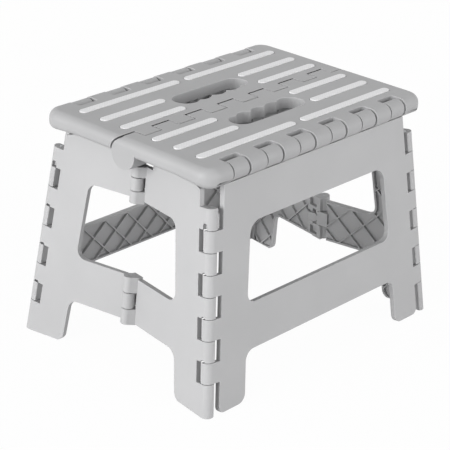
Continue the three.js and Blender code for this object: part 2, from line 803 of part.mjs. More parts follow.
function stoolHalf(side, turn, pinnedEnd, looseEnd) {
  const half = new THREE.Group();
  half.rotation.z = turn;
  half.add(piece(`seat_half_${side}`, toGeometry(seatHalf()), seatPlastic()));

  const stripBottom = stepHeight + stripProud - stripThickness;
  let count = 0;
  for (const [innerTip, row] of stripRows) {
    for (const hand of [1, -1]) {
      count += 1;
      const strip = stripSolid(innerTip, row, hand, 0, stripBottom, stripBottom + stripThickness);
      half.add(piece(`tread_strip_${side}_${count}`, toGeometry(strip), stripRubber()));
    }
  }

  const sideGroup = frameGroup(sideFrame);
  half.add(sideGroup);
  sideGroup.add(piece(`side_panel_${side}`, toGeometry(sidePanel()), panelPlastic()));
  sideGroup.add(piece(`hinge_rail_${side}`, toGeometry(hingeRail()), seatPlastic()));
  const pinReach = outerRun / 2 + outerPinReach;
  const outerPin = rodX(outerPinRadius, -pinReach, pinReach, 0, 0, boreSides);
  sideGroup.add(piece(`outer_hinge_pin_${side}`, toGeometry(outerPin), pinSteel()));

  for (const [end, hand] of [[pinnedEnd, 1], [looseEnd, -1]]) {
    const flip = hand > 0 ? new THREE.Matrix4() : mirrorX;
    const cornerGroup = frameGroup(flip.clone().multiply(cornerFrame).multiply(flip));
    sideGroup.add(cornerGroup);
    const pinLow = alongAxis(cornerInWorld, cornerPinFloor);
    const pinHigh = alongAxis(cornerInWorld, cornerKnuckleTop) - fitGap;
    const cornerPin = rodZ(cornerPinRadius, pinLow, pinHigh, 0, 0, boreSides);
    cornerGroup.add(piece(`corner_pin_${side}_${end}`, toGeometry(cornerPin), pinSteel()));

    const endGroup = frameGroup(flip.clone().multiply(endFrame).multiply(flip));
    cornerGroup.add(endGroup);
    const panel = placed(toGeometry(endPanelHalf(hand > 0)), flip);
    endGroup.add(piece(`end_panel_${side}_${end}`, panel, panelPlastic()));
    if (hand > 0) {
      const middleGroup = frameGroup(middleFrame);
      endGroup.add(middleGroup);
      middleHingeSets().forEach((levels, i) => {
        const low = levels[0] + blockPocketWall + fitGap;
        const high = levels[levels.length - 1] - middleSideGap;
        const pin = rodZ(middlePinRadius, low, high, 0, 0, boreSides);
        const level = ['upper', 'lower'][i];
        middleGroup.add(piece(`end_hinge_pin_${end}_${level}`, toGeometry(pin), pinSteel()));
      });
    }
  }
  return half;
}

const group = new THREE.Group();
group.add(stoolHalf('front', 0, 'left', 'right'));
group.add(stoolHalf('rear', Math.PI, 'right', 'left'));
const centrePinReach = seatReach - centreDiskWall - fitGap;
const centrePin = rodX(centrePinRadius, -centrePinReach, centrePinReach, 0, centreAxisZ, boreSides);
group.add(piece('centre_hinge_pin', toGeometry(centrePin), pinSteel()));

export default group;
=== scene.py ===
"""Folding plastic step stool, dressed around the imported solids.

Every size is in millimetres in the stool's own frame: X along the long sides, the front at -Y,
Z up from the floor. Meshes are turned to metres when a piece is finished.
"""

import logging
import math
from dataclasses import dataclass, field
from enum import Enum
from typing import Callable, Iterable, Optional, Sequence

import bmesh
import bpy
from mathutils import Matrix, Vector
from mathutils.bvhtree import BVHTree


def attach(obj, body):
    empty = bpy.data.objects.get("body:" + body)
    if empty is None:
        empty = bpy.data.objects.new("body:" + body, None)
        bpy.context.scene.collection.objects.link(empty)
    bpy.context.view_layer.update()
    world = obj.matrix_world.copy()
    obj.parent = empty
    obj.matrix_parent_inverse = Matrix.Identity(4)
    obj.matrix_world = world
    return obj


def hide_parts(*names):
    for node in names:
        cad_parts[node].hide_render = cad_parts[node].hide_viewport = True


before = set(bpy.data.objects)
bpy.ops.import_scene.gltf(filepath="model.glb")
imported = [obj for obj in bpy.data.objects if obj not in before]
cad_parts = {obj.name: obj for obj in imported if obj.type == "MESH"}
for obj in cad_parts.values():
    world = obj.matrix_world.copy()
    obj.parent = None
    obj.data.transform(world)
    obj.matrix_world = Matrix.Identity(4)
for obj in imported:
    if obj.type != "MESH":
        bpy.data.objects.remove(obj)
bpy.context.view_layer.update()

log = logging.getLogger("stool")

MM = 0.001
# How far a cutting shape reaches past what it cuts
OVERRUN = 5.0
# The room around a pin, a strip or a rail
FIT_GAP = 0.3
ROUND_SIDES = 40
SMALL_SIDES = 28
BORE_SIDES = 24
CORNER_STEPS = 8
# Outward edges that turn by more than this are rounded
EDGE_ANGLE = math.radians(24)
# Edges that turn by more than this aren't shaded smooth
SMOOTH_ANGLE = math.radians(34)
# Before it is rounded, a solid loses seams between flat faces, double points and tiny edges
FLAT_ANGLE = math.radians(0.4)
WELD = 0.002
SHORTEST_EDGE = 0.08
# An edge this near to a surface lies on it
ON_SURFACE = 0.02
# The shares of a round's width that are tried, until little area folds over itself
ROUND_SHARES = (1.0, 0.85, 0.7, 0.55, 0.4)
FOLDED_AREA = 12.0
# How wide a wave texture's band is at a scale of one
WAVE_BAND = math.tau / 20
WHITE = "#ffffff"

Point = tuple[float, float]


class Combine(Enum):
    """How two solids are put together."""

    JOIN = "UNION"
    CUT = "DIFFERENCE"
    KEEP = "INTERSECT"


class Axis(Enum):
    """The way a rod or a prism runs. A prism's outline lies in the other two axes, in their order."""

    X = "X"
    Y = "Y"
    Z = "Z"

    def turn(self) -> Matrix:
        """Turns a shape that is drawn in X and Y and run along Z.

        Returns:
            The turn that takes it to this axis.
        """
        if self is Axis.X:
            return Matrix(((0, 0, 1, 0), (1, 0, 0, 0), (0, 1, 0, 0), (0, 0, 0, 1)))
        if self is Axis.Y:
            return Matrix(((1, 0, 0, 0), (0, 0, 1, 0), (0, 1, 0, 0), (0, 0, 0, 1)))
        return Matrix.Identity(4)


class Side(Enum):
    """The two halves of the stool. The rear one is the front one turned about the upright axis."""

    FRONT = "front"
    REAR = "rear"

    def turn(self) -> Matrix:
        """The turn that takes the front half's pieces to this half."""
        return Matrix.Rotation(math.pi if self is Side.REAR else 0.0, 4, "Z")

    def ends(self) -> tuple[str, str]:
        """The ends where this half's panel carries the middle hinge's pins, and where it doesn't."""
        return ("left", "right") if self is Side.FRONT else ("right", "left")


MIRROR_X = Matrix.Scale(-1, 4, (1, 0, 0))


@dataclass(frozen=True)
class Corner:
    """One corner of an outline and the radius it is rounded with."""

    x: float
    y: float
    radius: float = 0.0


def rectangle(
    across: Sequence[float], along: Sequence[float], near: float, far: float
) -> list[Corner]:
    """A rectangle's outline, counter-clockwise.

    Args:
        across: Where it starts and ends in the first direction.
        along: Where it starts and ends in the second direction.
        near: The radius of the corners where the second direction starts.
        far: The radius of the corners where it ends.

    Returns:
        The corners.
    """
    return [
        Corner(across[0], along[0], near),
        Corner(across[1], along[0], near),
        Corner(across[1], along[1], far),
        Corner(across[0], along[1], far),
    ]


def mesh_of(bm: bmesh.types.BMesh, name: str = "step") -> bpy.types.Mesh:
    """Turns a bmesh into a mesh and frees it.

    Args:
        bm: The bmesh.
        name: The mesh's name.

    Returns:
        The new mesh.
    """
    mesh = bpy.data.meshes.new(name)
    bm.to_mesh(mesh)
    bm.free()
    return mesh


def bevel(
    bm: bmesh.types.BMesh,
    geom: Sequence[bmesh.types.BMVert | bmesh.types.BMEdge],
    width: float,
    steps: int,
    affect: str = "EDGES",
) -> list[bmesh.types.BMFace]:
    """Rounds edges or corners.

    Args:
        bm: The bmesh.
        geom: The edges, or the corners of an outline.
        width: How far from each the round starts.
        steps: The steps of the round.
        affect: EDGES, or VERTICES for corners.

    Returns:
        The faces of the round.
    """
    made = bmesh.ops.bevel(
        bm,
        geom=geom,
        offset=width,
        offset_type="OFFSET",
        segments=steps,
        profile=0.5,
        affect=affect,
        material=-1,
    )
    return made["faces"]


def folded_area(mesh: bpy.types.Mesh) -> float:
    """How much area a mesh's faces draw twice, as faces do that fold over themselves.

    Args:
        mesh: The mesh.

    Returns:
        The area.
    """
    bm = bmesh.new()
    bm.from_mesh(mesh)
    flat = sum(face.calc_area() for face in bm.faces)
    bmesh.ops.triangulate(bm, faces=list(bm.faces))
    drawn = sum(face.calc_area() for face in bm.faces)
    bm.free()
    return drawn - flat


def rounded(
    mesh: bpy.types.Mesh, width: float, steps: int, sharp: Optional["Solid"]
) -> bpy.types.Mesh:
    """Rounds a mesh's outward edges.

    Args:
        mesh: The mesh, with a face layer named edge.
        width: How far each edge is rounded.
        steps: The steps of the round.
        sharp: The edges on this solid's surface aren't rounded.

    Returns:
        The new mesh, with the round's faces marked.
    """
    bm = bmesh.new()
    bm.from_mesh(mesh)
    highlight_layer = bm.faces.layers.float["edge"]
    edges = [
        e
        for e in bm.edges
        if len(e.link_faces) == 2
        and e.is_convex
        and e.calc_face_angle(0.0) > EDGE_ANGLE
    ]
    if sharp is not None:
        plain = bmesh.new()
        plain.from_mesh(sharp.mesh)
        surface = BVHTree.FromBMesh(plain)
        plain.free()
        edges = [
            e
            for e in edges
            if surface.find_nearest((e.verts[0].co + e.verts[1].co) / 2, ON_SURFACE)[0]
            is None
        ]
    # The round's faces are marked; the plastic finishes paint them lighter, a painted highlight along
    # the edges
    for face in bevel(bm, edges, width, steps):
        face[highlight_layer] = 1.0
    return mesh_of(bm)


class Solid:
    """A closed mesh in millimetres that is joined, cut and finished in steps."""

    def __init__(self, mesh: bpy.types.Mesh) -> None:
        """Keeps the mesh."""
        self.mesh = mesh

    @classmethod
    def box(cls, low: Sequence[float], high: Sequence[float]) -> "Solid":
        """A block between two corners.

        Args:
            low: The lowest corner.
            high: The highest corner.

        Returns:
            The block.
        """
        bm = bmesh.new()
        size = [b - a for a, b in zip(low, high)]
        middle = Vector([(a + b) / 2 for a, b in zip(low, high)])
        place = Matrix.Translation(middle) @ Matrix.Diagonal((*size, 1.0))
        bmesh.ops.create_cube(bm, size=1.0, matrix=place)
        return cls(mesh_of(bm))

    @classmethod
    def rod(
        cls,
        axis: Axis,
        radius: float,
        start: float,
        end: float,
        centre: Point = (0.0, 0.0),
        sides: int = ROUND_SIDES,
    ) -> "Solid":
        """A round rod.

        Args:
            axis: The axis it runs along.
            radius: Its radius.
            start: Where it starts along the axis.
            end: Where it ends along the axis.
            centre: Its centre in the other two axes.
            sides: How many sides the round has.

        Returns:
            The rod.
        """
        bm = bmesh.new()
        place = Matrix.Translation((centre[0], centre[1], (start + end) / 2))
        bmesh.ops.create_cone(
            bm,
            cap_ends=True,
            segments=sides,
            radius1=radius,
            radius2=radius,
            depth=end - start,
            matrix=place,
        )
        return cls(mesh_of(bm)).moved(axis.turn())

    @classmethod
    def prism(
        cls, axis: Axis, outline: Sequence[Corner], start: float, end: float
    ) -> "Solid":
        """An outline with rounded corners, run along an axis.

        Args:
            axis: The axis it runs along.
            outline: The corners in order.
            start: Where it starts along the axis.
            end: Where it ends along the axis.

        Returns:
            The prism.
        """
        bm = bmesh.new()
        loop = [bm.verts.new((c.x, c.y, start)) for c in outline]
        bm.faces.new(loop)
        for here, vert in zip(turns(outline), loop):
            if here.corner.radius > 0:
                width = here.corner.radius * math.tan(abs(here.turn) / 2)
                bevel(bm, [vert], width, CORNER_STEPS, "VERTICES")
        made = bmesh.ops.extrude_face_region(bm, geom=list(bm.faces))
        top = [v for v in made["geom"] if isinstance(v, bmesh.types.BMVert)]
        bmesh.ops.translate(bm, verts=top, vec=(0, 0, end - start))
        bmesh.ops.recalc_face_normals(bm, faces=list(bm.faces))
        return cls(mesh_of(bm)).moved(axis.turn())

    @classmethod
    def apart(cls, solids: Iterable["Solid"]) -> "Solid":
        """Puts solids that don't meet into one mesh.

        Args:
            solids: The solids.

        Returns:
            One solid of all of them.
        """
        bm = bmesh.new()
        for solid in solids:
            bm.from_mesh(solid.mesh)
        return cls(mesh_of(bm))

    def moved(self, matrix: Matrix) -> "Solid":
        """A copy of the solid, turned, moved or mirrored.

        Args:
            matrix: The move.

        Returns:
            The copy.
        """
        mesh = self.mesh.copy()
        mesh.transform(matrix)
        bm = bmesh.new()
        bm.from_mesh(mesh)
        if matrix.determinant() < 0:
            bmesh.ops.reverse_faces(bm, faces=list(bm.faces))
        bm.to_mesh(mesh)
        bm.free()
        return Solid(mesh)

    def combine(self, other: "Solid", how: Combine) -> "Solid":
        """Joins, cuts or intersects with another solid.

        Args:
            other: The other solid.
            how: What to do.

        Returns:
            The result.
        """
        target = bpy.data.objects.new("target", self.mesh)
        tool = bpy.data.objects.new("tool", other.mesh)
        for thing in (target, tool):
            bpy.context.scene.collection.objects.link(thing)
        step = target.modifiers.new("step", "BOOLEAN")
        step.operation = how.value
        step.solver = "MANIFOLD"
        step.object = tool
        graph = bpy.context.evaluated_depsgraph_get()
        mesh = bpy.data.meshes.new_from_object(
            target.evaluated_get(graph), depsgraph=graph
        )
        for thing in (target, tool):
            bpy.data.objects.remove(thing)
        return Solid(mesh)

    def join(self, *others: "Solid") -> "Solid":
        """Joins other solids to this one.

        Args:
            others: The other solids, in the order they are joined.

        Returns:
            The result.
        """
        result = self
        for other in others:
            result = result.combine(other, Combine.JOIN)
        return result

    def cut(self, *others: "Solid") -> "Solid":
        """Cuts other solids from this one.

        Args:
            others: The other solids, in the order they are cut.

        Returns:
            The result.
        """
        result = self
        for other in others:
            result = result.combine(other, Combine.CUT)
        return result

    def keep(self, other: "Solid") -> "Solid":
        """Keeps what lies in the other one too."""
        return self.combine(other, Combine.KEEP)

    def softened(
        self,
        width: float,
        steps: int = 2,
        sharp: Optional["Solid"] = None,
        most_folded: float = FOLDED_AREA,
    ) -> "Solid":
        """Rounds the outward edges, as a mould does, and marks the faces that makes.

        Args:
            width: How far each edge is rounded. Where that doesn't fit, it is less.
            steps: The steps of the round.
            sharp: What was cut out and leaves its edges sharp, such as thin ribs.
            most_folded: The area that may be drawn twice, in square millimetres.

        Returns:
            The solid with soft edges.
        """
        bm = bmesh.new()
        bm.from_mesh(self.mesh)
        bmesh.ops.remove_doubles(bm, verts=list(bm.verts), dist=WELD)
        bmesh.ops.dissolve_limit(
            bm,
            angle_limit=FLAT_ANGLE,
            verts=list(bm.verts),
            edges=list(bm.edges),
        )
        bmesh.ops.dissolve_degenerate(bm, edges=list(bm.edges), dist=SHORTEST_EDGE)
        bm.faces.layers.float.new("edge")
        loose = [e for e in bm.edges if not e.link_faces]
        bmesh.ops.delete(bm, geom=loose, context="EDGES")
        plain = mesh_of(bm)
        before = folded_area(plain)
        for share in ROUND_SHARES:
            mesh = rounded(plain, width * share, steps, sharp)
            folded = folded_area(mesh) - before
            if folded < most_folded:
                break
        log.info("edges rounded by %.2f mm, folded %.2f", width * share, folded)
        return Solid(mesh)

    def finished(self, name: str) -> bpy.types.Object:
        """Makes the solid a piece of the scene, in metres.

        Args:
            name: The piece's name.

        Returns:
            The piece's object.
        """
        mesh = self.mesh.copy()
        mesh.name = name
        mesh.transform(Matrix.Scale(MM, 4))
        mesh.shade_smooth()
        mesh.set_sharp_from_angle(angle=SMOOTH_ANGLE)
        obj = bpy.data.objects.new(name, mesh)
        bpy.context.scene.collection.objects.link(obj)
        even = obj.modifiers.new("even_normals", "WEIGHTED_NORMAL")
        even.keep_sharp = True
        return obj


@dataclass(frozen=True)
class Turn:
    """How an outline turns at a corner, with the ways in and out."""

    corner: Corner
    arrive: Vector
    leave: Vector
    turn: float


def turns(outline: Sequence[Corner]) -> list[Turn]:
    """How a closed outline turns at each corner.

    Args:
        outline: The corners in order.

    Returns:
        One entry for each corner.
    """
    found = []
    for i, here in enumerate(outline):
        before = outline[i - 1]
        after = outline[(i + 1) % len(outline)]
        arrive = Vector((here.x - before.x, here.y - before.y)).normalized()
        leave = Vector((after.x - here.x, after.y - here.y)).normalized()
        turn = math.atan2(arrive.cross(leave), arrive.dot(leave))
        found.append(Turn(here, arrive, leave, turn))
    return found


def inset(outline: Sequence[Corner], distance: float) -> list[Corner]:
    """Moves each edge of a counter-clockwise outline inward, keeping round corners parallel.

    Args:
        outline: The corners.
        distance: How far inward; negative moves it outward.

    Returns:
        The new corners.
    """
    moved = []
    for t in turns(outline):
        reach = distance / math.cos(t.turn / 2)
        inward = Vector((-t.arrive.y - t.leave.y, t.arrive.x + t.leave.x)).normalized()
        grown = t.corner.radius - math.copysign(distance, t.turn)
        radius = max(grown, 0.0) if t.corner.radius > 0 else 0.0
        moved.append(
            Corner(t.corner.x + inward.x * reach, t.corner.y + inward.y * reach, radius)
        )
    return moved


def clear_radius(pin: float, clearance: float, sides: int = BORE_SIDES) -> float:
    """The corner radius of a many-sided bore whose flats clear a round pin."""
    return (pin + clearance) / math.cos(math.pi / sides)


def bore(
    axis: Axis, pin: float, start: float, end: float, centre: Point = (0.0, 0.0)
) -> Solid:
    """The bore that holds a pin or turns on it.

    Args:
        axis: The axis it runs along.
        pin: The pin's radius.
        start: Where it starts along the axis.
        end: Where it ends along the axis.
        centre: Its centre in the other two axes.

    Returns:
        The bore as a solid.
    """
    return Solid.rod(axis, clear_radius(pin, FIT_GAP), start, end, centre, BORE_SIDES)


@dataclass(frozen=True)
class StoolSizes:
    """Sizes that more than one sub-assembly needs."""

    step_height: float = 220.0
    foot_past_seat: float = 10.65
    foot_past_hinge: float = 24.6
    seat_overhang: float = 9.8
    face_offset: float = 1.67
    end_inset: float = math.radians(8.7)
    seat_length: float = 289.0
    seat_corner_radius: float = 15.5
    outer_hinge_span: float = 187.0
    outer_barrel_radius: float = 9.0
    outer_segment_count: int = 11
    outer_hinge_margin: float = 28.83
    outer_side_gap: float = 0.8
    outer_round_gap: float = 0.45
    outer_pin_radius: float = 2.0
    outer_pin_reach: float = 10.0
    centre_knuckle_radius: float = 14.0
    centre_pin_radius: float = 2.5
    centre_disk_wall: float = 4.0
    panel_depth: float = 5.0
    panel_skin: float = 2.2
    panel_rim: float = 2.2
    panel_rib: float = 1.3
    rib_pitch: float = 28.5
    rib_phase_share: float = 0.205
    panel_top_gap: float = 0.5
    rail_bar_height: float = 10.0
    rail_bar_depth: float = 4.0
    corner_barrel_radius: float = 6.1
    corner_pin_radius: float = 1.4
    corner_foot_height: float = 29.8
    corner_top_drop: float = 36.6
    corner_knuckle_count: int = 8
    corner_side_gap: float = 0.5
    corner_pin_floor: float = 8.0
    side_setback: float = 9.1
    end_setback: float = 7.7
    middle_pin_radius: float = 0.8
    middle_axis_offset: float = 3.0
    middle_side_gap: float = 0.6
    block_pocket_wall: float = 2.2
    upper_hinge_bottom: float = 156.8
    upper_hinge_top: float = 191.2
    lower_hinge_bottom: float = 42.6
    lower_hinge_top: float = 88.6
    upper_split_shares: tuple[float, ...] = (0.0, 0.34, 0.7, 1.0)
    lower_split_shares: tuple[float, ...] = (0.0, 0.333, 0.667, 1.0)

    @property
    def foot_length(self) -> float:
        """The length the feet stand on."""
        return self.seat_length + 2 * self.foot_past_seat

    @property
    def foot_width(self) -> float:
        """The width the feet stand on."""
        return self.outer_hinge_span + 2 * self.foot_past_hinge

    @property
    def panel_lean(self) -> float:
        """How far the side panels lean in."""
        facing = self.face_offset / math.hypot(self.foot_past_hinge, self.hinge_z)
        return math.acos(facing) - math.atan2(self.hinge_z, self.foot_past_hinge)

    @property
    def corner_slant(self) -> float:
        """How far the side panels' edges slant."""
        return math.atan2(self.foot_past_seat + self.seat_overhang, -self.floor_on_face)

    @property
    def outer_segment_pitch(self) -> float:
        """The step of the outer hinge's segments."""
        run = self.seat_length - 2 * self.outer_hinge_margin
        return run / self.outer_segment_count

    @property
    def corner_top(self) -> float:
        """Where the corner hinge's uppermost knuckle ends, above the floor."""
        return self.step_height - self.corner_top_drop

    @property
    def corner_knuckle_pitch(self) -> float:
        """The step of the corner hinge's knuckles."""
        return (self.corner_top - self.corner_foot_height) / self.corner_knuckle_count

    @property
    def middle_back(self) -> float:
        """The end panels' inner face, in the middle hinge's frame."""
        return -self.middle_axis_offset - self.panel_depth

    @property
    def seat_reach(self) -> float:
        """Half the seat's length."""
        return self.seat_length / 2

    @property
    def hinge_y(self) -> float:
        """The outer hinge's distance from the middle."""
        return self.outer_hinge_span / 2

    @property
    def hinge_z(self) -> float:
        """The outer hinge's height."""
        return self.step_height - self.outer_barrel_radius

    @property
    def centre_z(self) -> float:
        """The centre hinge's height."""
        return self.step_height - self.centre_knuckle_radius

    @property
    def outer_run(self) -> float:
        """The length of the outer hinge's row of segments."""
        return self.outer_segment_pitch * self.outer_segment_count

    @property
    def floor_on_face(self) -> float:
        """The floor line on the side panel's outer face, in the side frame."""
        drop = self.hinge_z + self.face_offset * math.sin(self.panel_lean)
        return -drop / math.cos(self.panel_lean)

    @property
    def panel_top(self) -> float:
        """The side panel's top edge in the side frame."""
        return -(self.outer_barrel_radius + self.panel_top_gap)

    @property
    def rail_bottom(self) -> float:
        """The hinge rail's lower edge in the side frame."""
        return self.panel_top - self.rail_bar_height

    @property
    def rail_face(self) -> float:
        """The hinge rail's outer face in the side frame."""
        return self.panel_skin - self.face_offset + FIT_GAP

    @property
    def side_frame(self) -> Matrix:
        """From the side frame, on the outer hinge's axis, to the stool's frame."""
        place = Matrix.Translation((0, -self.hinge_y, self.hinge_z))
        return place @ Matrix.Rotation(-self.panel_lean, 4, "X")

    @property
    def corner_frame(self) -> Matrix:
        """The corner frame, on the left corner hinge's axis.

        Returns:
            From the corner frame to the side frame.
        """
        inset_x = self.corner_barrel_radius / math.cos(self.corner_slant)
        place = Matrix.Translation(
            (
                inset_x - self.foot_length / 2,
                self.corner_barrel_radius - self.face_offset,
                self.floor_on_face,
            )
        )
        return place @ Matrix.Rotation(self.corner_slant, 4, "Y")

    @property
    def corner_in_world(self) -> Matrix:
        """From the corner frame to the stool's frame."""
        return self.side_frame @ self.corner_frame

    @property
    def end_in_world(self) -> Matrix:
        """From the end frame to the stool's frame."""
        return self.corner_in_world @ Matrix.Rotation(
            math.pi / 2 - self.end_inset, 4, "Z"
        )

    @property
    def middle_in_end(self) -> Matrix:
        """The middle hinge's frame, on its axis.

        Returns:
            From the middle hinge's frame to the end frame.
        """
        plane = self.corner_barrel_radius + self.middle_axis_offset
        low = self.on_end_plane(0, 0, plane)
        high = self.on_end_plane(0, self.step_height, plane)
        tilt = math.atan2(high[0] - low[0], high[1] - low[1])
        return Matrix.Translation((low[0], plane, low[1])) @ Matrix.Rotation(
            tilt, 4, "Y"
        )

    @property
    def middle_in_world(self) -> Matrix:
        """From the middle hinge's frame to the stool's frame."""
        return self.end_in_world @ self.middle_in_end

    def on_side_face(self, width: float, height: float) -> Point:
        """A place on the side panel's outer face.

        Args:
            width: The distance from the middle along X.
            height: The height above the floor.

        Returns:
            The place in the side frame's X and Z.
        """
        drop = self.hinge_z + self.face_offset * math.sin(self.panel_lean)
        return (width, (height - drop) / math.cos(self.panel_lean))

    def side_edge(self, rise: float) -> float:
        """Where the side panel's slanting edge lies at a place up the panel.

        Args:
            rise: The place up the panel, in the side frame.

        Returns:
            The distance from the middle along X.
        """
        setback = (self.corner_barrel_radius + self.side_setback) / math.cos(
            self.corner_slant
        )
        climb = (rise - self.floor_on_face) * math.tan(self.corner_slant)
        return self.foot_length / 2 - setback - climb

    def on_end_plane(self, from_middle: float, height: float, plane: float) -> Point:
        """A place on a plane parallel to the end panel.

        Args:
            from_middle: The distance from the stool's middle along Y.
            height: The height above the floor.
            plane: The plane's Y in the end frame.

        Returns:
            The place in the end frame's X and Z.
        """
        m = self.end_in_world
        y = -from_middle - m[1][1] * plane - m[1][3]
        z = height - m[2][1] * plane - m[2][3]
        scale = m[1][0] * m[2][2] - m[1][2] * m[2][0]
        return (
            (y * m[2][2] - z * m[1][2]) / scale,
            (z * m[1][0] - y * m[2][0]) / scale,
        )

    def on_end_face(self, from_middle: float, height: float) -> Point:
        """A place on the end panel's outer face, in the end frame's X and Z."""
        return self.on_end_plane(from_middle, height, self.corner_barrel_radius)

    def middle_levels(self) -> list[list[float]]:
        """Where the knuckles of the upper and the lower middle hinge meet, along the hinge's axis."""
        sets = (
            (self.upper_hinge_bottom, self.upper_hinge_top, self.upper_split_shares),
            (self.lower_hinge_bottom, self.lower_hinge_top, self.lower_split_shares),
        )
        return [
            [along_axis(self.middle_in_world, low + (high - low) * s) for s in shares]
            for low, high, shares in sets
        ]


def along_axis(matrix: Matrix, height: float) -> float:
    """A height above the floor as a distance along a frame's own Z axis."""
    return (height - matrix[2][3]) / matrix[2][2]


SIZES = StoolSizes()


def segment_ends(index: int, margin: float) -> Point:
    """Where one segment of the outer hinge starts and ends.

    Args:
        index: Its place in the row.
        margin: How far it is made longer at each end.

    Returns:
        The start and the end along X.
    """
    start = -SIZES.outer_run / 2 + index * SIZES.outer_segment_pitch
    half = SIZES.outer_side_gap / 2
    return (start + half - margin, start + SIZES.outer_segment_pitch - half + margin)


def diagonal_ribs(
    place: Callable[[float, float], Point],
    widest: float,
    tallest: float,
    y0: float,
    y1: float,
) -> list[Solid]:
    """The two ways of a diagonal lattice of ribs.

    Args:
        place: Takes a width and a height to the panel's own face.
        widest: Half the width to fill.
        tallest: The height to fill.
        y0: The near side of the ribs.
        y1: The far side of the ribs.

    Returns:
        One solid for each way.
    """
    length = tallest / math.sin(math.pi / 4) + OVERRUN
    ways = []
    for way in (1, -1):
        first = math.floor(
            (-widest - tallest if way > 0 else -widest) / SIZES.rib_pitch
        )
        last = math.ceil((widest if way > 0 else widest + tallest) / SIZES.rib_pitch)
        ribs = []
        for k in range(first, last + 1):
            start = (k + SIZES.rib_phase_share) * SIZES.rib_pitch
            low = place(start, 0.0)
            high = place(start + way * tallest, tallest)
            half = SIZES.panel_rib / 2
            rib = Solid.box((-half, y0, -length / 2), (half, y1, length / 2))
            tilt = Matrix.Rotation(
                math.atan2(high[0] - low[0], high[1] - low[1]), 4, "Y"
            )
            middle = ((low[0] + high[0]) / 2, 0, (low[1] + high[1]) / 2)
            ribs.append(rib.moved(Matrix.Translation(middle) @ tilt))
        ways.append(Solid.apart(ribs))
    return ways


# Finishes


def linear(code: str) -> tuple[float, float, float, float]:
    """Turns an sRGB hex colour to linear.

    Args:
        code: The colour, such as #a0a0a0.

    Returns:
        Red, green, blue and alpha.
    """
    parts = [int(code[i : i + 2], 16) / 255 for i in (1, 3, 5)]
    values = [c / 12.92 if c <= 0.04045 else ((c + 0.055) / 1.055) ** 2.4 for c in parts]
    return (values[0], values[1], values[2], 1.0)


def add_node(
    tree: bpy.types.NodeTree,
    kind: str,
    settings: dict | None = None,
    inputs: dict | None = None,
) -> bpy.types.Node:
    """Adds a node with its settings, and its sockets' values or links.

    Args:
        tree: The node tree.
        kind: The node's type.
        settings: The node's own properties.
        inputs: Each socket's value, or the output socket that feeds it.

    Returns:
        The node.
    """
    made = tree.nodes.new(kind)
    for key, value in (settings or {}).items():
        setattr(made, key, value)
    for key, value in (inputs or {}).items():
        socket = made.inputs[key]
        if isinstance(value, bpy.types.NodeSocket):
            tree.links.new(value, socket)
        else:
            socket.default_value = value
    return made


def new_material(name: str) -> tuple[bpy.types.Material, bpy.types.NodeTree]:
    """An empty node material.

    Args:
        name: Its name.

    Returns:
        The material and its tree.
    """
    material = bpy.data.materials.new(name)
    material.use_nodes = True
    material.node_tree.nodes.clear()
    return material, material.node_tree


@dataclass(frozen=True)
class Finish:
    """What a piece is made of, and the slot its material fills."""

    name: str
    colour: str
    roughness: float
    slot: str

    def surface(
        self, tree: bpy.types.NodeTree, place: bpy.types.NodeSocket
    ) -> bpy.types.NodeSocket:
        """Adds the nodes of the surface.

        Args:
            tree: The material's tree.
            place: The place on the piece, in metres.

        Returns:
            The shader's output.
        """
        raise NotImplementedError

    def material(self) -> bpy.types.Material:
        """Builds the material.

        Returns:
            The material.
        """
        material, tree = new_material(self.name)
        place = add_node(tree, "ShaderNodeTexCoord").outputs["Object"]
        surface = self.surface(tree, place)
        add_node(tree, "ShaderNodeOutputMaterial", None, {"Surface": surface})
        return material


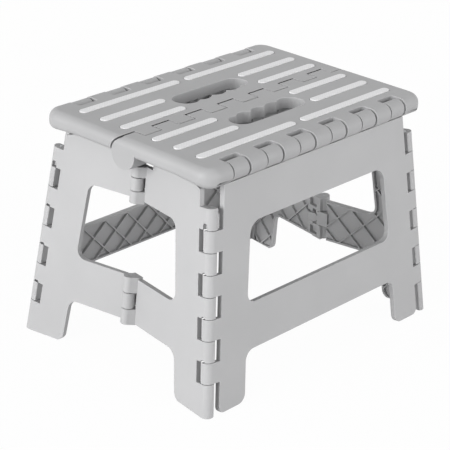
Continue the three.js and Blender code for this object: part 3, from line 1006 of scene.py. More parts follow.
@dataclass(frozen=True)
class MouldedPolypropylene(Finish):
    """Injection-moulded polypropylene from a spark-eroded tool.

    The eye sees an even satin grey with a fine grain and broad soft patches where the melt cooled at
    different rates. Its rounded edges are painted a little lighter, a painted highlight.
    """

    patch: str
    # The lighter colour painted on the rounded edges, a painted highlight
    edge: str
    # The real grain is about 0.2 mm; it is drawn coarser so that it shows
    grain_mm: float = 1.1
    grain_depth_mm: float = 0.05
    patch_mm: float = 55.0
    patch_fade: Point = (0.35, 0.65)
    # How strongly the painted highlight lightens the rounded edges
    highlight_share: float = 0.7
    gloss_spread: Point = (-0.06, 0.08)
    ior: float = 1.49

    def surface(
        self, tree: bpy.types.NodeTree, place: bpy.types.NodeSocket
    ) -> bpy.types.NodeSocket:
        """Adds the nodes of the surface.

        Args:
            tree: The material's tree.
            place: The place on the piece, in metres.

        Returns:
            The shader's output.
        """
        grain = add_node(
            tree,
            "ShaderNodeTexNoise",
            {"noise_dimensions": "3D"},
            {
                "Vector": place,
                "Scale": 1 / (self.grain_mm * MM),
                "Detail": 3.0,
                "Roughness": 0.6,
            },
        )
        patches = add_node(
            tree,
            "ShaderNodeTexNoise",
            None,
            {"Vector": place, "Scale": 1 / (self.patch_mm * MM), "Detail": 2.0},
        )
        ramp = add_node(
            tree,
            "ShaderNodeMapRange",
            None,
            {
                "Value": patches.outputs["Fac"],
                "From Min": self.patch_fade[0],
                "From Max": self.patch_fade[1],
            },
        )
        # The rounded edges are painted lighter: a painted highlight
        highlight_mask = add_node(tree, "ShaderNodeAttribute", {"attribute_name": "edge"})
        painted_highlight = add_node(
            tree,
            "ShaderNodeMath",
            {"operation": "MULTIPLY"},
            {0: highlight_mask.outputs["Fac"], 1: self.highlight_share},
        )
        colour = linear(self.colour)
        for factor, code in (
            (ramp.outputs["Result"], self.patch),
            (painted_highlight.outputs["Value"], self.edge),
        ):
            mixed = add_node(
                tree,
                "ShaderNodeMix",
                {"data_type": "RGBA"},
                {"Factor": factor, "A": colour, "B": linear(code)},
            )
            colour = mixed.outputs["Result"]
        gloss = add_node(
            tree,
            "ShaderNodeMapRange",
            None,
            {
                "Value": grain.outputs["Fac"],
                "To Min": self.roughness + self.gloss_spread[0],
                "To Max": self.roughness + self.gloss_spread[1],
            },
        )
        bump = add_node(
            tree,
            "ShaderNodeBump",
            None,
            {
                "Height": grain.outputs["Fac"],
                "Distance": self.grain_depth_mm * MM,
                "Strength": 1.0,
            },
        )
        shader = add_node(
            tree,
            "ShaderNodeBsdfPrincipled",
            None,
            {
                "Base Color": colour,
                "Roughness": gloss.outputs["Result"],
                "Normal": bump.outputs["Normal"],
                "IOR": self.ior,
            },
        )
        return shader.outputs["BSDF"]


@dataclass(frozen=True)
class RibbedElastomer(Finish):
    """Soft thermoplastic elastomer, moulded with fine diagonal ribs.

    The eye sees a pale matt strip with close slanting lines. Its grooves are painted darker, a
    painted shade, and so are random specks.
    """

    # The darker colour painted in the rib grooves as shade, and in random specks
    groove: str
    rib_pitch_mm: float = 2.1
    rib_depth_mm: float = 0.06
    rib_turn: float = math.radians(45)
    speckle_mm: float = 1.6
    ior: float = 1.5

    def surface(
        self, tree: bpy.types.NodeTree, place: bpy.types.NodeSocket
    ) -> bpy.types.NodeSocket:
        """Adds the nodes of the surface.

        Args:
            tree: The material's tree.
            place: The place on the piece, in metres.

        Returns:
            The shader's output.
        """
        turned = add_node(
            tree,
            "ShaderNodeMapping",
            None,
            {"Vector": place, "Rotation": (0.0, 0.0, self.rib_turn)},
        )
        bands = add_node(
            tree,
            "ShaderNodeTexWave",
            {"wave_type": "BANDS", "bands_direction": "X", "wave_profile": "SIN"},
            {
                "Vector": turned.outputs["Vector"],
                "Scale": WAVE_BAND / (self.rib_pitch_mm * MM),
                "Distortion": 0.0,
            },
        )
        speckle = add_node(
            tree,
            "ShaderNodeTexNoise",
            None,
            {"Vector": place, "Scale": 1 / (self.speckle_mm * MM), "Detail": 2.0},
        )
        # Low in the grooves and the specks: painted shade in the grooves, random tone in the specks
        shade = add_node(
            tree,
            "ShaderNodeMath",
            {"operation": "MULTIPLY"},
            {0: bands.outputs["Fac"], 1: speckle.outputs["Fac"]},
        )
        colour = add_node(
            tree,
            "ShaderNodeMix",
            {"data_type": "RGBA"},
            {
                "Factor": shade.outputs["Value"],
                "A": linear(self.groove),
                "B": linear(self.colour),
            },
        )
        bump = add_node(
            tree,
            "ShaderNodeBump",
            None,
            {
                "Height": bands.outputs["Fac"],
                "Distance": self.rib_depth_mm * MM,
                "Strength": 1.0,
            },
        )
        shader = add_node(
            tree,
            "ShaderNodeBsdfPrincipled",
            None,
            {
                "Base Color": colour.outputs["Result"],
                "Roughness": self.roughness,
                "Normal": bump.outputs["Normal"],
                "IOR": self.ior,
            },
        )
        return shader.outputs["BSDF"]


@dataclass(frozen=True)
class DrawnSteel(Finish):
    """Zinc-plated drawn steel wire. The eye sees a pale metal with fine lines along the wire."""

    line_mm: float = 0.5
    gloss_spread: Point = (-0.08, 0.1)

    def surface(
        self, tree: bpy.types.NodeTree, place: bpy.types.NodeSocket
    ) -> bpy.types.NodeSocket:
        """Adds the nodes of the surface.

        Args:
            tree: The material's tree.
            place: The place on the piece, in metres.

        Returns:
            The shader's output.
        """
        lines = add_node(
            tree,
            "ShaderNodeTexNoise",
            None,
            {"Vector": place, "Scale": 1 / (self.line_mm * MM), "Detail": 3.0},
        )
        gloss = add_node(
            tree,
            "ShaderNodeMapRange",
            None,
            {
                "Value": lines.outputs["Fac"],
                "To Min": self.roughness + self.gloss_spread[0],
                "To Max": self.roughness + self.gloss_spread[1],
            },
        )
        shader = add_node(
            tree,
            "ShaderNodeBsdfPrincipled",
            None,
            {
                "Base Color": linear(self.colour),
                "Metallic": 1.0,
                "Roughness": gloss.outputs["Result"],
            },
        )
        return shader.outputs["BSDF"]


@dataclass
class Dresser:
    """Gives finished pieces their material and body, and hides the CAD nodes they stand for."""

    made: dict[str, bpy.types.Material] = field(default_factory=dict)

    def dress(
        self, solid: Solid, name: str, finish: Finish, body: str, *nodes: str
    ) -> bpy.types.Object:
        """Makes a piece of a solid and puts it on its body.

        Args:
            solid: The shape, in the stool's frame.
            name: The piece's name.
            finish: Its finish.
            body: The body it rides on.
            nodes: The CAD nodes it stands for.

        Returns:
            The piece.
        """
        if finish.name not in self.made:
            self.made[finish.name] = finish.material()
        piece = solid.finished(name)
        piece.data.materials.clear()
        piece.data.materials.append(self.made[finish.name])
        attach(piece, body)
        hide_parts(*nodes)
        log.info("%s: %d faces", name, len(piece.data.polygons))
        return piece


SEAT_PLASTIC = MouldedPolypropylene(
    name="grey_moulded_polypropylene",
    colour="#a6a6a7",
    patch="#a2a2a3",
    # The rounded edges are painted this lighter grey, a painted highlight
    edge="#b0b0b1",
    roughness=0.5,
    slot="seat_plastic",
)
PANEL_PLASTIC = MouldedPolypropylene(
    name="pale_moulded_polypropylene",
    colour="#afafb0",
    patch="#acacad",
    # The rounded edges are painted this lighter grey, a painted highlight
    edge="#bababb",
    roughness=0.48,
    slot="panel_plastic",
)
STRIP_RUBBER = RibbedElastomer(
    name="pale_ribbed_elastomer",
    colour="#ebebec",
    # Painted darker in the rib grooves as shade, and in random specks
    groove="#e3e3e4",
    roughness=0.75,
    slot="tread",
)
PIN_STEEL = DrawnSteel(
    name="zinc_plated_drawn_steel", colour="#c9cbcd", roughness=0.32, slot="pin_steel"
)


# Seat


@dataclass(frozen=True)
class FingerLobe:
    """One lobe of the hand slot's edge: its middle, its round's width and its reach."""

    middle: float
    width: float
    reach: float


@dataclass
class Seat:
    """The two seat halves and their tread strips."""

    edge_radius: float = 8.5
    lower_edge_radius: float = 6.0
    edge_steps: int = 7
    skin: float = 3.2
    wall: float = 2.6
    rib: float = 1.8
    end_wall: float = 4.5
    rim_depth: float = 15.2
    rim_slope_end: float = 60.0
    cell_rows: int = 3
    cell_columns: int = 8
    knuckle_count: int = 14
    disk_depth: float = 14.2
    knuckle_pad: float = 5.5
    knuckle_side_gap: float = 1.0
    knuckle_round_gap: float = 0.45
    pocket_corner: float = 2.0
    slot_radius: float = 13.0
    slot_last: float = 32.4
    slot_lobe_line: float = 35.0
    slot_straight_line: float = 46.5
    slot_collar: float = 10.5
    slot_crest: float = 0.4
    slot_steps: int = 160
    slot_lobes: tuple[FingerLobe, ...] = (
        FingerLobe(-35.3, 10.1, 10.5),
        FingerLobe(-21.7, 12.6, 13.0),
        FingerLobe(-2.6, 12.6, 13.0),
        FingerLobe(16.3, 12.6, 13.0),
        FingerLobe(32.4, 13.0, 13.0),
    )
    strip_half_width: float = 4.1
    strip_thickness: float = 2.0
    strip_proud: float = 0.7
    strip_outer_tip: float = 127.2
    # A half round, a hair short of it so that the two rounds of an end don't meet in one point
    strip_round_share: float = 0.999
    # Each row of strips: its inner tip's distance from the middle, and from the centre hinge
    strip_places: tuple[Point, ...] = ((50.0, 19.2), (50.0, 44.6), (4.8, 71.1))
    strip_edge: float = 0.45
    soft_edge: float = 0.75
    # What folds is small, on the lower lip and inside the hinge, where no side shows it
    most_folded: float = 95.0

    @property
    def underside(self) -> float:
        """A height below the whole seat."""
        return SIZES.step_height - 2 * SIZES.outer_barrel_radius - OVERRUN

    @property
    def front(self) -> float:
        """The seat's front edge."""
        return SIZES.hinge_y + SIZES.outer_barrel_radius

    @property
    def pocket_wall(self) -> float:
        """The wall behind the outer hinge's pockets."""
        return SIZES.hinge_y - SIZES.outer_barrel_radius - SIZES.outer_round_gap

    @property
    def relief(self) -> float:
        """The radius that is free for the other half's knuckles."""
        corner = math.hypot(self.knuckle_pad, SIZES.centre_knuckle_radius)
        return corner + self.knuckle_round_gap

    @property
    def strip_floor(self) -> float:
        """The strips' underside."""
        return SIZES.step_height + self.strip_proud - self.strip_thickness

    def plan(self, depth: float, lower: bool) -> Solid:
        """The seat's plan with rounded edges, open past the middle.

        Args:
            depth: How deep it is at the front edge.
            lower: Whether the lower edge is rounded like the upper one.

        Returns:
            The block, which gets shallower behind the front edge as the seat does.
        """
        top = SIZES.step_height
        inner = SIZES.centre_knuckle_radius + self.edge_radius + OVERRUN
        reach = SIZES.seat_reach
        outline = rectangle(
            (-reach, reach), (-self.front, inner), SIZES.seat_corner_radius, 0.0
        )
        block = Solid.prism(Axis.Z, outline, top - depth, top)
        bm = bmesh.new()
        bm.from_mesh(block.mesh)
        rims = [(top, self.edge_radius)]
        if lower:
            rims.append((top - depth, self.lower_edge_radius))
        for level, radius in rims:
            edges = [
                e for e in bm.edges if all(abs(v.co.z - level) < WELD for v in e.verts)
            ]
            bevel(bm, edges, radius, self.edge_steps)
        bmesh.ops.bisect_plane(
            bm,
            geom=[*bm.verts, *bm.edges, *bm.faces],
            plane_co=(0, -self.rim_slope_end, 0),
            plane_no=(0, 1, 0),
        )
        least = self.rim_depth / (2 * SIZES.outer_barrel_radius)
        slope = SIZES.hinge_y - self.rim_slope_end
        for vert in bm.verts:
            along = min(max((-vert.co.y - self.rim_slope_end) / slope, 0.0), 1.0)
            share = least + (1 - least) * along
            vert.co.z = top - (top - vert.co.z) * share
        return Solid(mesh_of(bm))

    def nose(self) -> Solid:
        """The seat's round front edge, with all that lies behind it.

        Returns:
            A block to keep.
        """
        reach = SIZES.seat_reach + OVERRUN
        behind = Solid.box(
            (-reach, -SIZES.hinge_y, self.underside),
            (reach, self.front, SIZES.step_height + OVERRUN),
        )
        place = (-SIZES.hinge_y, SIZES.hinge_z)
        return behind.join(
            Solid.rod(Axis.X, SIZES.outer_barrel_radius, -reach, reach, place)
        )

    def slot(self, margin: float, high: float) -> Solid:
        """The hand slot, with four finger lobes toward the stool's middle.

        Args:
            margin: How much it is grown outward.
            high: Where it ends above.

        Returns:
            The slot as a solid.
        """
        radius = self.slot_radius + margin
        depth = self.slot_straight_line - self.slot_lobe_line + margin
        line = -self.slot_lobe_line
        end = self.slot_last + radius
        outline = []
        for i in range(2 * SMALL_SIDES + 1):
            angle = math.pi * i / (2 * SMALL_SIDES)
            side = math.copysign(self.slot_last, math.cos(angle))
            x = radius * math.cos(angle) + side
            outline.append(Corner(-x, line - depth * math.sin(angle)))
        for i in range(1, self.slot_steps):
            x = end * math.cos(math.pi * i / self.slot_steps)
            outline.append(Corner(x, line + self.slot_wave(x, margin)))
        return Solid.prism(Axis.Z, outline, self.underside - OVERRUN, high)

    def slot_wave(self, x: float, margin: float) -> float:
        """How far the slot's finger lobes reach at a place along it, with soft crests.

        Args:
            x: The place along the slot.
            margin: How much the slot is grown outward.

        Returns:
            The reach from the slot's line.
        """
        total = 1.0
        for lobe in self.slot_lobes:
            past = abs(x - lobe.middle) / (lobe.width + margin)
            height = (lobe.reach + margin) * math.sqrt(max(1 - past**2, 0.0))
            total += math.exp(height / self.slot_crest) - 1
        return self.slot_crest * math.log(total)

    def strip(
        self, tip: float, row: float, hand: int, margin: float, low: float, high: float
    ) -> Solid:
        """A tread strip, or its groove.

        Args:
            tip: The inner tip's distance from the middle.
            row: The strip's distance from the centre hinge.
            hand: 1 for the right side, -1 for the left.
            margin: How much it is grown outward.
            low: Its underside.
            high: Its top.

        Returns:
            The strip.
        """
        half = self.strip_half_width + margin
        ends = sorted((hand * (tip - margin), hand * (self.strip_outer_tip + margin)))
        radius = half * self.strip_round_share
        outline = rectangle(ends, (-row - half, -row + half), radius, radius)
        return Solid.prism(Axis.Z, outline, low, high)

    def strips(self, margin: float, low: float, high: float) -> list[Solid]:
        """The front half's tread strips, or their grooves.

        Args:
            margin: How much they are grown outward.
            low: Their underside.
            high: Their top.

        Returns:
            The strips in the order of their numbers.
        """
        return [
            self.strip(tip, row, hand, margin, low, high)
            for tip, row in self.strip_places
            for hand in (1, -1)
        ]

    def cells(self) -> Solid:
        """The open cells under the seat.

        Returns:
            What is cut out below, between the ribs and around the hand slot.
        """
        front = self.pocket_wall - self.wall
        back = self.relief + self.wall
        side = SIZES.seat_reach - self.end_wall
        roof = SIZES.step_height - self.skin
        low = self.underside - OVERRUN
        columns = []
        for i in range(1, self.cell_columns):
            x = -side + 2 * side * i / self.cell_columns
            columns.append(
                Solid.box(
                    (x - self.rib / 2, -front - OVERRUN, low),
                    (x + self.rib / 2, -back + OVERRUN, SIZES.step_height),
                )
            )
        rows = []
        for j in range(1, self.cell_rows):
            y = -front + (front - back) * j / self.cell_rows
            rows.append(
                Solid.box(
                    (-side - OVERRUN, y - self.rib / 2, low),
                    (side + OVERRUN, y + self.rib / 2, SIZES.step_height),
                )
            )
        space = Solid.box((-side, -front, self.underside), (side, -back, roof))
        collar = self.slot(self.wall, SIZES.step_height + OVERRUN)
        space = space.cut(Solid.apart(columns), Solid.apart(rows), collar)
        return space.join(self.slot(self.wall, SIZES.step_height - self.slot_collar))

    def knuckle_ends(self, index: int, margin: float) -> Point:
        """Where one knuckle of the centre hinge starts and ends.

        Args:
            index: Its place in the row.
            margin: How far it is made longer at each end.

        Returns:
            The start and the end along X.
        """
        pitch = SIZES.seat_length / self.knuckle_count
        last = SIZES.seat_reach - self.disk_depth
        start, end = (
            min(max(i * pitch - SIZES.seat_reach, -last), last) for i in (index, index + 1)
        )
        half = self.knuckle_side_gap / 2
        return (start + half - margin, end - half + margin)

    def centre_row(self) -> tuple[Solid, Solid]:
        """The front half's part of the centre hinge.

        Returns:
            Its knuckles, and the room it leaves for the rear half's.
        """
        reach = SIZES.seat_reach
        place = (0.0, SIZES.centre_z)
        knuckles, rooms = [], []
        for i in range(0, self.knuckle_count, 2):
            start, end = self.knuckle_ends(i, 0.0)
            start = -reach if i == 0 else start
            knuckle = Solid.rod(Axis.X, SIZES.centre_knuckle_radius, start, end, place)
            pad = Solid.box(
                (start, -self.knuckle_pad, SIZES.centre_z),
                (end, self.knuckle_pad, SIZES.step_height),
            )
            knuckles.append(knuckle.join(pad))
        for i in range(1, self.knuckle_count, 2):
            start, end = self.knuckle_ends(i, self.knuckle_side_gap)
            if i == self.knuckle_count - 1:
                end = reach + OVERRUN
            rooms.append(Solid.rod(Axis.X, self.relief, start, end, place))
        return Solid.apart(knuckles), Solid.apart(rooms)

    def outer_pockets(self) -> Solid:
        """The gaps in the front edge, in which the rail's knuckles turn.

        Returns:
            The gaps as one solid.
        """
        pockets = []
        for i in range(0, SIZES.outer_segment_count, 2):
            outline = rectangle(
                segment_ends(i, SIZES.outer_side_gap),
                (-self.front - OVERRUN, -self.pocket_wall),
                0.0,
                self.pocket_corner,
            )
            low, high = self.underside - OVERRUN, SIZES.step_height + OVERRUN
            pockets.append(Solid.prism(Axis.Z, outline, low, high))
        return Solid.apart(pockets)

    def half(self) -> Solid:
        """Builds the front seat half.

        Returns:
            The half without its strips.
        """
        top, reach = SIZES.step_height, SIZES.seat_reach
        behind = Solid.box(
            (-reach - OVERRUN, -self.wall, self.underside),
            (reach + OVERRUN, reach, top + OVERRUN),
        )
        slab = self.plan(2 * SIZES.outer_barrel_radius, True).cut(behind)
        # Deeper than the knuckles, so that it trims only their ends and tops
        trim = self.plan(3 * SIZES.centre_knuckle_radius, False)
        cells = self.cells()
        knuckles, rooms = self.centre_row()
        grooves = self.strips(FIT_GAP, self.strip_floor - FIT_GAP, top + OVERRUN)
        run = SIZES.outer_run / 2 + SIZES.outer_pin_reach + FIT_GAP
        solid = slab.keep(self.nose()).cut(cells).join(knuckles.keep(trim))
        solid = solid.cut(
            rooms,
            self.outer_pockets(),
            self.slot(0.0, top + OVERRUN),
            Solid.apart(grooves),
            bore(
                Axis.X,
                SIZES.outer_pin_radius,
                -run,
                run,
                (-SIZES.hinge_y, SIZES.hinge_z),
            ),
            bore(
                Axis.X,
                SIZES.centre_pin_radius,
                SIZES.centre_disk_wall - reach,
                reach + OVERRUN,
                (0.0, SIZES.centre_z),
            ),
        )
        return solid.softened(self.soft_edge, sharp=cells, most_folded=self.most_folded)

    def build(self, dresser: Dresser) -> None:
        """Builds both halves and their strips.

        Args:
            dresser: Puts the pieces in place.
        """
        half = self.half()
        low = self.strip_floor
        strips = [
            strip.softened(self.strip_edge)
            for strip in self.strips(0.0, low, low + self.strip_thickness)
        ]
        for side in Side:
            turn = side.turn()
            body = f"seat_{side.value}"
            dresser.dress(
                half.moved(turn),
                f"seat_moulding_{side.value}",
                SEAT_PLASTIC,
                body,
                f"seat_half_{side.value}",
            )
            for i, strip in enumerate(strips, 1):
                dresser.dress(
                    strip.moved(turn),
                    f"tread_insert_{side.value}_{i}",
                    STRIP_RUBBER,
                    body,
                    f"tread_strip_{side.value}_{i}",
                )


# Side panels and their hinge rails


def corner_knuckle(
    index: int, web: float, face: float, back: float, low_end: float, free: float
) -> Solid:
    """One knuckle of a corner hinge with the web to its panel, in the corner frame.

    Args:
        index: Its place from the lowest split knuckle; -1 is the foot's.
        web: The web's length from the axis.
        face: The panel's outer face.
        back: The panel's inner face.
        low_end: Where the foot's knuckle starts.
        free: Where the barrel is cut flat on the side of the other panel.

    Returns:
        The knuckle.
    """
    gap = SIZES.corner_side_gap / 2
    floor = SIZES.corner_foot_height + index * SIZES.corner_knuckle_pitch
    ceiling = floor + SIZES.corner_knuckle_pitch - gap
    frame_in_world = SIZES.corner_in_world
    low = along_axis(frame_in_world, low_end if index < 0 else floor + gap)
    high = along_axis(frame_in_world, ceiling)
    near, far = sorted((face, back))
    barrel = Solid.rod(
        Axis.Z, SIZES.corner_barrel_radius, low, high, sides=SMALL_SIDES
    )
    reach = SIZES.corner_barrel_radius + OVERRUN
    first, last = sorted((free, math.copysign(reach, free)))
    flat = Solid.box((-reach, first, low - OVERRUN), (reach, last, high + OVERRUN))
    return barrel.cut(flat).join(Solid.box((0, near, low), (web, far, high)))


def corner_bore() -> Solid:
    """The bore through a corner hinge's knuckles.

    Returns:
        The bore in the corner frame.
    """
    low = along_axis(SIZES.corner_in_world, SIZES.corner_pin_floor)
    high = along_axis(SIZES.corner_in_world, SIZES.corner_top)
    return bore(Axis.Z, SIZES.corner_pin_radius, low - FIT_GAP, high + OVERRUN)


def floor_block(matrix: Matrix) -> Solid:
    """Everything below the floor, in a frame of its own.

    Args:
        matrix: From that frame to the stool's.

    Returns:
        The block.
    """
    reach = SIZES.foot_length
    slab = Solid.box((-reach, -reach, -SIZES.step_height), (reach, reach, 0))
    return slab.moved(matrix.inverted())


@dataclass
class SidePanels:
    """The two long side panels."""

    window_top: float = 160.3
    window_bottom: float = 88.1
    window_top_reach: float = 90.0
    window_bottom_reach: float = 98.4
    window_top_radius: float = 13.0
    window_bottom_radius: float = 9.0
    arch_top: float = 45.6
    arch_top_reach: float = 102.6
    arch_foot_reach: float = 106.7
    arch_radius: float = 10.0
    foot_inner_radius: float = 9.0
    foot_outer_radius: float = 6.0
    knuckle_flat: float = 2.6
    soft_edge: float = 0.45

    def outline(self) -> list[Corner]:
        """The panel's outline, counter-clockwise in the side frame's X and Z."""
        half = [
            Corner(
                *SIZES.on_side_face(self.arch_top_reach, self.arch_top),
                self.arch_radius,
            ),
            Corner(
                *SIZES.on_side_face(self.arch_foot_reach, 0), self.foot_inner_radius
            ),
            Corner(
                SIZES.side_edge(SIZES.floor_on_face),
                SIZES.floor_on_face,
                self.foot_outer_radius,
            ),
            Corner(SIZES.side_edge(SIZES.panel_top), SIZES.panel_top),
        ]
        return half + [Corner(-c.x, c.y, c.radius) for c in reversed(half)]

    def window(self) -> list[Corner]:
        """The window's outline, in the side frame's X and Z.

        Returns:
            The corners.
        """
        top = SIZES.on_side_face(self.window_top_reach, self.window_top)
        bottom = SIZES.on_side_face(self.window_bottom_reach, self.window_bottom)
        return [
            Corner(-bottom[0], bottom[1], self.window_bottom_radius),
            Corner(bottom[0], bottom[1], self.window_bottom_radius),
            Corner(top[0], top[1], self.window_top_radius),
            Corner(-top[0], top[1], self.window_top_radius),
        ]

    def recess(self) -> Solid:
        """What is taken out of the inner face between the rims and the lattice.

        Returns:
            The recess as a solid.
        """
        lowered = SIZES.rail_bottom - FIT_GAP - SIZES.panel_rim
        reach = SIZES.side_edge(lowered) - SIZES.panel_rim
        outline = [
            Corner(math.copysign(reach, c.x), lowered, c.radius)
            if c.y > lowered
            else c
            for c in inset(self.outline(), SIZES.panel_rim)
        ]
        start = SIZES.panel_skin - SIZES.face_offset
        end = SIZES.panel_depth - SIZES.face_offset + OVERRUN
        whole = Solid.prism(Axis.Y, outline, start, end)
        surround = Solid.prism(
            Axis.Y,
            inset(self.window(), -SIZES.panel_rim),
            start - OVERRUN,
            end + OVERRUN,
        )
        ribs = diagonal_ribs(
            SIZES.on_side_face,
            SIZES.foot_length / 2,
            SIZES.step_height,
            start - OVERRUN,
            end + OVERRUN,
        )
        return whole.cut(surround, *ribs)

    def panel(self) -> Solid:
        """Builds the front side panel.

        Returns:
            The panel in the side frame.
        """
        face = -SIZES.face_offset
        back = SIZES.panel_depth - SIZES.face_offset
        solid = Solid.prism(Axis.Y, self.outline(), face, back)
        window = Solid.prism(Axis.Y, self.window(), face - OVERRUN, back + OVERRUN)
        rebate = SIZES.outer_run / 2 + FIT_GAP
        seat_of_rail = Solid.box(
            (
                -rebate,
                SIZES.panel_skin - SIZES.face_offset,
                SIZES.rail_bottom - FIT_GAP,
            ),
            (rebate, back + OVERRUN, SIZES.panel_top + OVERRUN),
        )
        recess = self.recess()
        solid = solid.cut(window, recess, seat_of_rail)
        knuckles = [
            corner_knuckle(
                i,
                SIZES.side_setback + SIZES.panel_rim / 2,
                -SIZES.corner_barrel_radius,
                SIZES.panel_depth - SIZES.corner_barrel_radius,
                0.0,
                self.knuckle_flat,
            )
            for i in range(0, SIZES.corner_knuckle_count, 2)
        ]
        hinge = Solid.apart(knuckles).cut(corner_bore())
        left = hinge.moved(SIZES.corner_frame)
        solid = solid.join(left, left.moved(MIRROR_X))
        solid = solid.cut(floor_block(SIZES.side_frame))
        return solid.softened(self.soft_edge, sharp=recess)

    def build(self, dresser: Dresser) -> None:
        """Builds both panels.

        Args:
            dresser: Puts the pieces in place.
        """
        panel = self.panel().moved(SIZES.side_frame)
        for side in Side:
            dresser.dress(
                panel.moved(side.turn()),
                f"side_moulding_{side.value}",
                PANEL_PLASTIC,
                f"side_{side.value}",
                f"side_panel_{side.value}",
            )


@dataclass
class HingeRails:
    """The rails behind the side panels' top edges, with the outer hinges' knuckles."""

    barrel_radius: float = 8.5
    barrel_short: float = 0.7
    soft_edge: float = 0.9

    def rail(self) -> Solid:
        """Builds the front rail.

        Returns:
            The rail in the side frame.
        """
        run = SIZES.outer_run
        face, back = SIZES.rail_face, SIZES.rail_face + SIZES.rail_bar_depth
        solid = Solid.box(
            (-run / 2, face, SIZES.rail_bottom), (run / 2, back, SIZES.panel_top)
        )
        barrels, webs = [], []
        for i in range(0, SIZES.outer_segment_count, 2):
            start, end = segment_ends(i, -self.barrel_short)
            barrels.append(Solid.rod(Axis.X, self.barrel_radius, start, end))
            webs.append(
                Solid.box(
                    (start, face, SIZES.panel_top - SIZES.panel_rim), (end, back, 0)
                )
            )
        solid = solid.join(Solid.apart(webs), Solid.apart(barrels))
        solid = solid.cut(bore(Axis.X, SIZES.outer_pin_radius, -run, run))
        return solid.softened(self.soft_edge)

    def build(self, dresser: Dresser) -> None:
        """Builds both rails.

        Args:
            dresser: Puts the pieces in place.
        """
        rail = self.rail().moved(SIZES.side_frame)
        for side in Side:
            dresser.dress(
                rail.moved(side.turn()),
                f"rail_moulding_{side.value}",
                SEAT_PLASTIC,
                f"side_{side.value}",
                f"hinge_rail_{side.value}",
            )


# End panels


@dataclass(frozen=True)
class StrayLobe:
    """One round part of the room in which a middle hinge's pin strays as the stool folds."""

    along: float
    out: float
    reach: float


